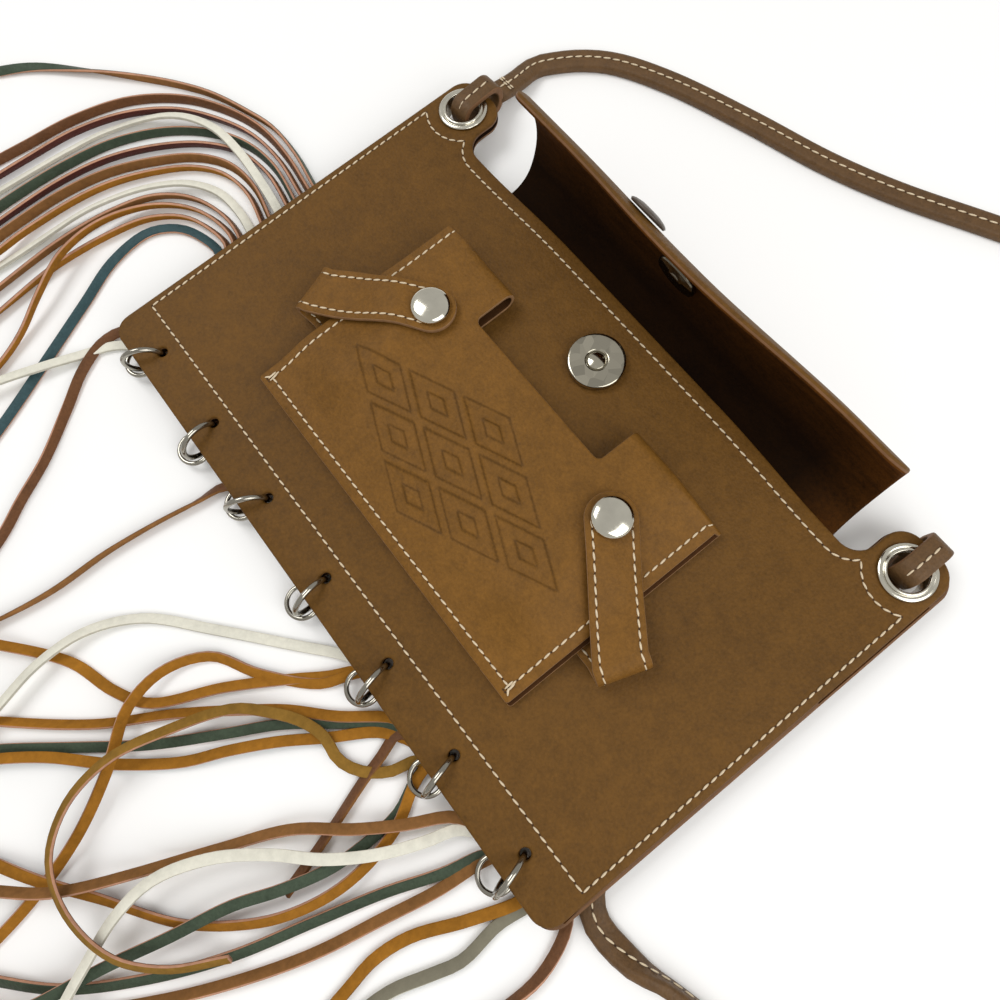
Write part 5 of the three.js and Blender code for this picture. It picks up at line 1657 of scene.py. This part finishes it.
class FRINGEBAG_OT_card_holder(bpy.types.Operator):
    """Fold, tool and sew the card holder"""

    bl_idname = "fringe_bag.card_holder"
    bl_label = "Card holder"

    def execute(self, context):
        sizes = context.scene.bag_sizes
        colours = context.scene.bag_colours
        left = HOLDER_X - HOLDER_HALF_WIDTH
        right = HOLDER_X + HOLDER_HALF_WIDTH
        total = 2 * HOLDER_HEIGHT + FOLD_LENGTH
        notch_low = HOLDER_HEIGHT - NOTCH_DEPTH
        notch = box_arcs(
            NOTCH_X - NOTCH_HALF_WIDTH, notch_low, NOTCH_X + NOTCH_HALF_WIDTH, total - notch_low,
            NOTCH_RADIUS, inside=True,
        )
        fold_end = HOLDER_HEIGHT + FOLD_LENGTH
        cells_x = spread(left, right, HOLDER_CELL)
        cells_y = (
            spread(0, HOLDER_HEIGHT, HOLDER_CELL)
            + spread(HOLDER_HEIGHT - FOLD_LAP, fold_end + FOLD_LAP, FOLD_CELL)
            + spread(fold_end, total, HOLDER_BACK_CELL)
        )
        outline = box_arcs(left, 0, right, total, HOLDER_CORNER)
        rounding = sizes.fine_round / MM
        bm = leather_sheet([outline, notch], HOLDER_LEATHER, rounding, cells_x, cells_y)
        paint_sides(bm, GRAIN, FLESH, CUT)
        self.refine(bm)
        depth = sizes.tooling_depth / MM
        form(bm, lambda x, s, h: holder_place(x, s, h, depth))
        make_piece(bm, "card_holder_leather", holder_finishes(colours), ["card_holder"])
        sew("card_holder_stitches", self.seams(sizes), sizes, seam_finishes(colours))
        return {"FINISHED"}

    def refine(self, bm):
        """Finer faces where the top is tooled, and how far each place is pressed."""

        def tooled(face):
            spot = face.calc_center_median()
            inside_x = abs(spot.x - HOLDER_X) < TOOLING_HALF_X + TOOLING_MARGIN
            inside_y = abs(spot.y + HOLDER_Y - TOOLING_Y) < TOOLING_HALF_Y + TOOLING_MARGIN
            return face.normal.z > WHOLE_EDGE and inside_x and inside_y

        def edges():
            return list(dict.fromkeys(edge for face in bm.faces if tooled(face) for edge in face.edges))

        def slanted(edge):
            step = edge.verts[1].co - edge.verts[0].co
            return min(abs(step.x), abs(step.y)) > SLANTED

        bmesh.ops.dissolve_edges(bm, edges=[edge for edge in edges() if slanted(edge)], use_verts=True)
        bmesh.ops.subdivide_edges(bm, edges=edges(), cuts=TOOLING_CUTS, use_grid_fill=True)
        # How far each place is pressed, which the holder's finish also turns into painted shade on the slopes
        pressed = bm.verts.layers.float.new("pressed")
        for vert in bm.verts:
            if vert.co.z > HOLDER_LEATHER / 2 and vert.co.y < HOLDER_HEIGHT:
                vert[pressed] = tooling(vert.co.x, leaf_y(vert.co.x, vert.co.y))

    def seams(self, sizes):
        inset = HOLDER_SEAM_INSET
        left = HOLDER_X - HOLDER_HALF_WIDTH + inset
        right = HOLDER_X + HOLDER_HALF_WIDTH - inset
        plans = [
            [(left, inset), (right, inset)],
            [(left, inset), (left, HOLDER_HEIGHT + FOLD_LENGTH / 4)],
            [(right, inset), (right, HOLDER_HEIGHT + FOLD_LENGTH / 4)],
        ]
        pitch = sizes.stitch_pitch / MM
        runs = [sewn_run(plan, pitch, holder_place, HOLDER_LEATHER, 0) for plan in plans]
        for x, side in ((left, -1), (right, 1)):
            for shift in (-TACK_SHIFT, TACK_SHIFT):
                tack = [(x + shift, inset + end) for end in TACK_ENDS]
                runs.append(sewn_run(tack, TACK_LENGTH, holder_place, HOLDER_LEATHER + TACK_LIFT, 0))
            corner = [(x, inset), (x + side * CORNER_TACK_OUT, CORNER_TACK_END)]
            height = HOLDER_LEATHER + CORNER_TACK_LIFT
            runs.append(sewn_run(corner, CORNER_TACK_LENGTH, holder_place, height, 0))
        return runs


class FRINGEBAG_OT_tabs(bpy.types.Operator):
    """Bend the tabs round the card holder and set their snap caps"""

    bl_idname = "fringe_bag.tabs"
    bl_label = "Tabs and snap caps"

    def execute(self, context):
        sizes = context.scene.bag_sizes
        colours = context.scene.bag_colours
        for name, side in SIDES:
            self.tab(name, side, sizes, colours)
            self.cap(name, side, colours)
        return {"FINISHED"}

    def tab(self, name, side, sizes, colours):
        half = TAB_WIDTH / 2
        arcs = [
            Arc(TAB_CAP_S, 0, half, -90, 90),
            Arc(TAB_CORNER, half - TAB_CORNER, TAB_CORNER, 90, 180),
            Arc(TAB_CORNER, -half + TAB_CORNER, TAB_CORNER, 180, 270),
        ]
        bend_end = TAB_LOWER + TAB_BEND_LENGTH
        cells_s = (
            spread(0, TAB_LOWER, TAB_ROOT_CELL)
            + spread(TAB_LOWER - TAB_BEND_LAP, bend_end + TAB_BEND_LAP, TAB_BEND_CELL)
            + spread(bend_end, TAB_CAP_S + half, TAB_CELL)
        )
        cells_w = spread(-half, half, TAB_CELL)
        bm = leather_sheet([arcs], TAB_LEATHER, sizes.fine_round / MM, cells_s, cells_w)
        paint_sides(bm, GRAIN, GRAIN, CUT)

        def place(s, w, h):
            return tab_place(side, s, -side * w, h)

        form(bm, place)
        bmesh.ops.recalc_face_normals(bm, faces=bm.faces)
        make_piece(bm, f"tab_{name}_leather", holder_finishes(colours), [f"tab_{name}"])
        pitch = sizes.stitch_pitch / MM
        runs = []
        for end, outer, inner in ((TAB_CAP_S, 0, TAB_LEATHER), (TAB_LOWER, TAB_LEATHER, 0)):
            for w in (-TAB_SEAM_W, TAB_SEAM_W):
                runs.append(sewn_run([(TAB_SEAM_START, w), (end, w)], pitch, place, outer, inner))
        sew(f"tab_{name}_stitches", runs, sizes, seam_finishes(colours))

    def cap(self, name, side, colours):
        seat = tab_place(side, TAB_CAP_S, 0, 0)
        reach = CAP_RADIUS
        along = tab_place(side, TAB_CAP_S - reach, 0, 0) - tab_place(side, TAB_CAP_S + reach, 0, 0)
        across = tab_place(side, TAB_CAP_S, -reach, 0) - tab_place(side, TAB_CAP_S, reach, 0)
        normal = along.cross(across).normalized()
        if normal.z < 0:
            normal.negate()
        dome = [
            (0, 0), (CAP_RADIUS - 0.6, 0), (CAP_RADIUS - 0.1, 0.2), (CAP_RADIUS, 0.55),
            (CAP_RADIUS - 0.12, 1.0), (CAP_RADIUS - 0.5, 1.45), (CAP_RADIUS - 1.3, 1.82),
            (CAP_RADIUS - 2.4, 2.08), (CAP_RADIUS / 3, 2.3), (0, CAP_HEIGHT),
        ]
        bm = turned(dome)
        move(bm, stand_on(seat + normal * CAP_SEAT, normal))
        nickel = polished_nickel("nickel_cap", colours.nickel, gloss=0.06)
        make_piece(bm, f"snap_cap_{name}_nickel", [nickel], [f"snap_cap_{name}"])


class FRINGEBAG_OT_fittings(bpy.types.Operator):
    """Set the eyelets, both halves of the magnetic catch and the cap on the flap"""

    bl_idname = "fringe_bag.fittings"
    bl_label = "Eyelets and catch"

    def execute(self, context):
        colours = context.scene.bag_colours
        nickel = polished_nickel("nickel_plate", colours.nickel, gloss=0.1)
        for name, side in SIDES:
            bm = self.eyelet()
            move(bm, Matrix.Translation((side * GROMMET_X, GROMMET_Y, 0)))
            make_piece(bm, f"eyelet_{name}_nickel", [nickel], [f"grommet_{name}"])
        # The catch's face carries painted reflection, patch by patch
        self.catch(nickel_with_facet_sheen("nickel_catch", colours.catch))
        # The flap's half of the catch gets the darkened nickel of painted shade
        self.flap_half(polished_nickel("nickel_shaded", colours.shaded_nickel, gloss=0.12))
        # The cap outside the flap gets the dark finish of painted shade
        self.flap_cap(painted_shade_plate("cap_lacquer", colours.lacquer))
        return {"FINISHED"}

    def eyelet(self):
        """Tube with a flat flange and a rolled lip at both ends."""
        low = BACK_Z - CLEAR
        high = FRONT_Z + LEATHER + CLEAR
        tube = GROMMET_INNER + GROMMET_WALL
        lip = 0.55
        rise = 0.62
        middle = GROMMET_INNER + lip
        top = GROMMET_RIM - lip
        roll = [(middle + lip * cos(angle), top + lip * sin(angle)) for angle in np.linspace(0, pi, 11)]
        flange = [
            (GROMMET_OUTER - 0.15, 0), (GROMMET_OUTER, 0.2), (GROMMET_OUTER - 0.2, 0.45),
            (GROMMET_OUTER - 0.8, rise), (middle + lip + 0.35, rise), (middle + lip + 0.05, 0.25),
        ]
        rim = flange + roll
        upper = [(radius, high + up) for radius, up in rim]
        lower = [(radius, low - up) for radius, up in reversed(rim)]
        return turned([*upper, *lower, (tube, low), (tube, high)], EYELET_STEPS, closed=True)

    def catch(self, nickel):
        """Disc with a plug in a sunk middle."""
        rim = 0.5
        lip = 0.35
        plug = 2.25
        profile = [
            (0, plug), (MAGNET_RECESS - 0.75, plug), (MAGNET_RECESS - 0.6, plug - 0.12),
            (MAGNET_RECESS - 0.55, 1.2), (MAGNET_RECESS - 0.1, 1.2), (MAGNET_RECESS, MAGNET_HEIGHT - 0.1),
            (MAGNET_RECESS + lip, MAGNET_HEIGHT), (MAGNET_RECESS + lip + 0.2, MAGNET_HEIGHT),
            (MAGNET_RADIUS - rim - 0.5, MAGNET_HEIGHT), (MAGNET_RADIUS - rim - 0.3, MAGNET_HEIGHT),
            (MAGNET_RADIUS - rim, MAGNET_HEIGHT - 0.03),
            (MAGNET_RADIUS - 0.15, MAGNET_HEIGHT - 0.15), (MAGNET_RADIUS, MAGNET_HEIGHT - rim),
            (MAGNET_RADIUS, rim), (MAGNET_RADIUS - rim, 0), (0, 0),
        ]
        bm = turned(profile)
        move(bm, Matrix.Translation((0, MAGNET_Y, front_top(0, MAGNET_Y) + CLEAR)))
        make_piece(bm, "catch_nickel", [nickel], ["magnet_socket"])

    def flap_half(self, nickel):
        """Other half of the catch, inside the flap, in darkened nickel as painted shade."""
        rim = 0.4
        radius = FLAP_MAGNET_RADIUS
        disc = [
            (0, 0), (radius - rim, 0), (radius, rim), (radius - 0.1, 1.4), (radius - rim, 1.8), (2.7, 1.8),
            (2.6, 2.2), (2.4, 2.3), (0, 2.3),
        ]
        y, z, heading = flap_at(FLAP_MAGNET_S)
        hollow = radius**2 / (2 * (FLAP_ARCS[1][0] - LEATHER))
        bm = turned(disc)
        y += flap_wave(0, FLAP_MAGNET_S)
        turn = Matrix.Translation((0, y, z)) @ Matrix.Rotation(heading, 4, "X")
        rise = Matrix.Translation((0, 0, LEATHER + hollow + FLAP_SEAT))
        move(bm, turn @ rise)
        make_piece(bm, "flap_catch_nickel", [nickel], ["flap_magnet"])

    def flap_cap(self, lacquer):
        """Flat dome outside the flap."""
        radius = FLAP_STUD_RADIUS
        dome = [
            (0, 0), (radius - 0.4, 0), (radius, 0.6), (radius - 0.4, 0.95), (radius - 1.2, 1.3),
            (radius / 2, 1.7), (0, 1.8),
        ]
        y, z, heading = flap_at(FLAP_STUD_S)
        bm = turned(dome)
        y += flap_wave(FLAP_STUD_X, FLAP_STUD_S)
        turn = Matrix.Translation((FLAP_STUD_X, y, z)) @ Matrix.Rotation(heading + pi, 4, "X")
        move(bm, turn @ Matrix.Translation((0, 0, FLAP_SEAT)))
        make_piece(bm, "flap_stud_cap", [lacquer], ["flap_stud"])


class FRINGEBAG_OT_rings(bpy.types.Operator):
    """Hang the rings and their links along the bottom edge"""

    bl_idname = "fringe_bag.rings"
    bl_label = "Rings and links"

    def execute(self, context):
        nickel = polished_nickel("nickel_wire", context.scene.bag_colours.wire, gloss=0.08)
        for i in range(RING_COUNT):
            yaw, centre, link = ring_frame(i)[:3]
            bm = wire_ring(RING_RADIUS, RING_WIRE)
            move(bm, Matrix.Translation(centre) @ turn_z(yaw) @ Matrix.Rotation(pi / 2, 4, "Y"))
            make_piece(bm, f"panel_ring_{i + 1}_nickel", [nickel], [f"panel_ring_{i + 1}"])
            bm = wire_ring(LINK_RADIUS, LINK_WIRE)
            move(bm, Matrix.Translation(link))
            make_piece(bm, f"link_ring_{i + 1}_nickel", [nickel], [f"link_ring_{i + 1}"])
        return {"FINISHED"}


class FRINGEBAG_OT_fringe(bpy.types.Operator):
    """Lay the dyed thongs of every ring"""

    bl_idname = "fringe_bag.fringe"
    bl_label = "Fringe"

    def execute(self, context):
        sizes = context.scene.bag_sizes
        finishes = thong_finishes(context.scene.bag_colours)
        tops = {}
        laid = [LaidThong(thong, tops) for thong in THONGS]
        for ring in range(1, RING_COUNT + 1):
            strips = [
                strip.mesh(sizes.thong_round / MM, sizes.thong_step / MM)
                for strip in laid if strip.thong.ring == ring
            ]
            bm = joined([thong_head(ring), *strips])
            make_piece(bm, f"fringe_{ring}_thongs", finishes, [f"fringe_{ring}"])
        return {"FINISHED"}


class FRINGEBAG_OT_strap(bpy.types.Operator):
    """Lay and sew the long strap and its two end loops"""

    bl_idname = "fringe_bag.strap"
    bl_label = "Strap"

    def execute(self, context):
        sizes = context.scene.bag_sizes
        colours = context.scene.bag_colours
        route = strap_route()
        place = strap_place(route)
        run = strip_blank(STRAP_WIDTH, STRAP_THICK, STRAP_CHAMFER, ceil(route.length / STRAP_CELL))
        form(run, lambda t, w, h: place(t * route.length, w, h))
        loops = ((-1, LEFT_LOOP), (1, RIGHT_LOOP))
        bm = joined([run, *[strap_loop(side, loop) for side, loop in loops]])
        finishes = [
            grained_leather("strap_grain", colours.strap, gloss=0.4, sheen=0.28),
            cut_edge("strap_cut", colours.cut_edge),
        ]
        make_piece(bm, "strap_leather", finishes, ["strap"])
        pitch = STRAP_SEAM_PITCH * sizes.stitch_pitch / MM
        middle = [(STRAP_SEAM_START, 0), (route.length - STRAP_SEAM_START, 0)]
        runs = [sewn_run(middle, pitch, place, STRAP_THICK / 2, 0)]
        runs += [loop_seam(side, loop, pitch) for side, loop in loops]
        reach = STRAP_WIDTH / 2 - WHIP_INSET
        for s in WHIP_STARTS:
            whip = [(s, -reach), (s + WHIP_SLANT, reach)]
            runs.append(sewn_run(whip, WHIP_LENGTH, place, STRAP_THICK / 2 + WHIP_LIFT, 0))
        sew("strap_stitches", runs, sizes, seam_finishes(colours))
        return {"FINISHED"}


class FRINGEBAG_PT_tools(bpy.types.Panel):
    """Shows the bag's sizes, colours and studio settings, and a button for each step that builds its pieces
    """

    bl_idname = "FRINGEBAG_PT_tools"
    bl_label = "Fringe bag"
    bl_space_type = "VIEW_3D"
    bl_region_type = "UI"
    bl_category = "Bag"

    def draw(self, context):
        scene = context.scene
        for group in (scene.bag_sizes, scene.bag_colours, scene.studio_look):
            for name in group.__annotations__:
                self.layout.prop(group, name)
        for operator in OPERATORS:
            self.layout.operator(operator.bl_idname)


OPERATORS = (
    FRINGEBAG_OT_stage,
    FRINGEBAG_OT_body,
    FRINGEBAG_OT_card_holder,
    FRINGEBAG_OT_tabs,
    FRINGEBAG_OT_fittings,
    FRINGEBAG_OT_rings,
    FRINGEBAG_OT_fringe,
    FRINGEBAG_OT_strap,
)
CLASSES = (BagSizes, BagColours, StudioLook, *OPERATORS, FRINGEBAG_PT_tools)


def register():
    for cls in CLASSES:
        bpy.utils.register_class(cls)
    bpy.types.Scene.bag_sizes = bpy.props.PointerProperty(type=BagSizes)
    bpy.types.Scene.bag_colours = bpy.props.PointerProperty(type=BagColours)
    bpy.types.Scene.studio_look = bpy.props.PointerProperty(type=StudioLook)


def unregister():
    for name in ("bag_sizes", "bag_colours", "studio_look"):
        delattr(bpy.types.Scene, name)
    for cls in reversed(CLASSES):
        bpy.utils.unregister_class(cls)


def main():
    register()
    bpy.ops.fringe_bag.stage()
    bpy.ops.fringe_bag.body()
    bpy.ops.fringe_bag.card_holder()
    bpy.ops.fringe_bag.tabs()
    bpy.ops.fringe_bag.fittings()
    bpy.ops.fringe_bag.rings()
    bpy.ops.fringe_bag.fringe()
    bpy.ops.fringe_bag.strap()


if __name__ == "__main__":
    main()
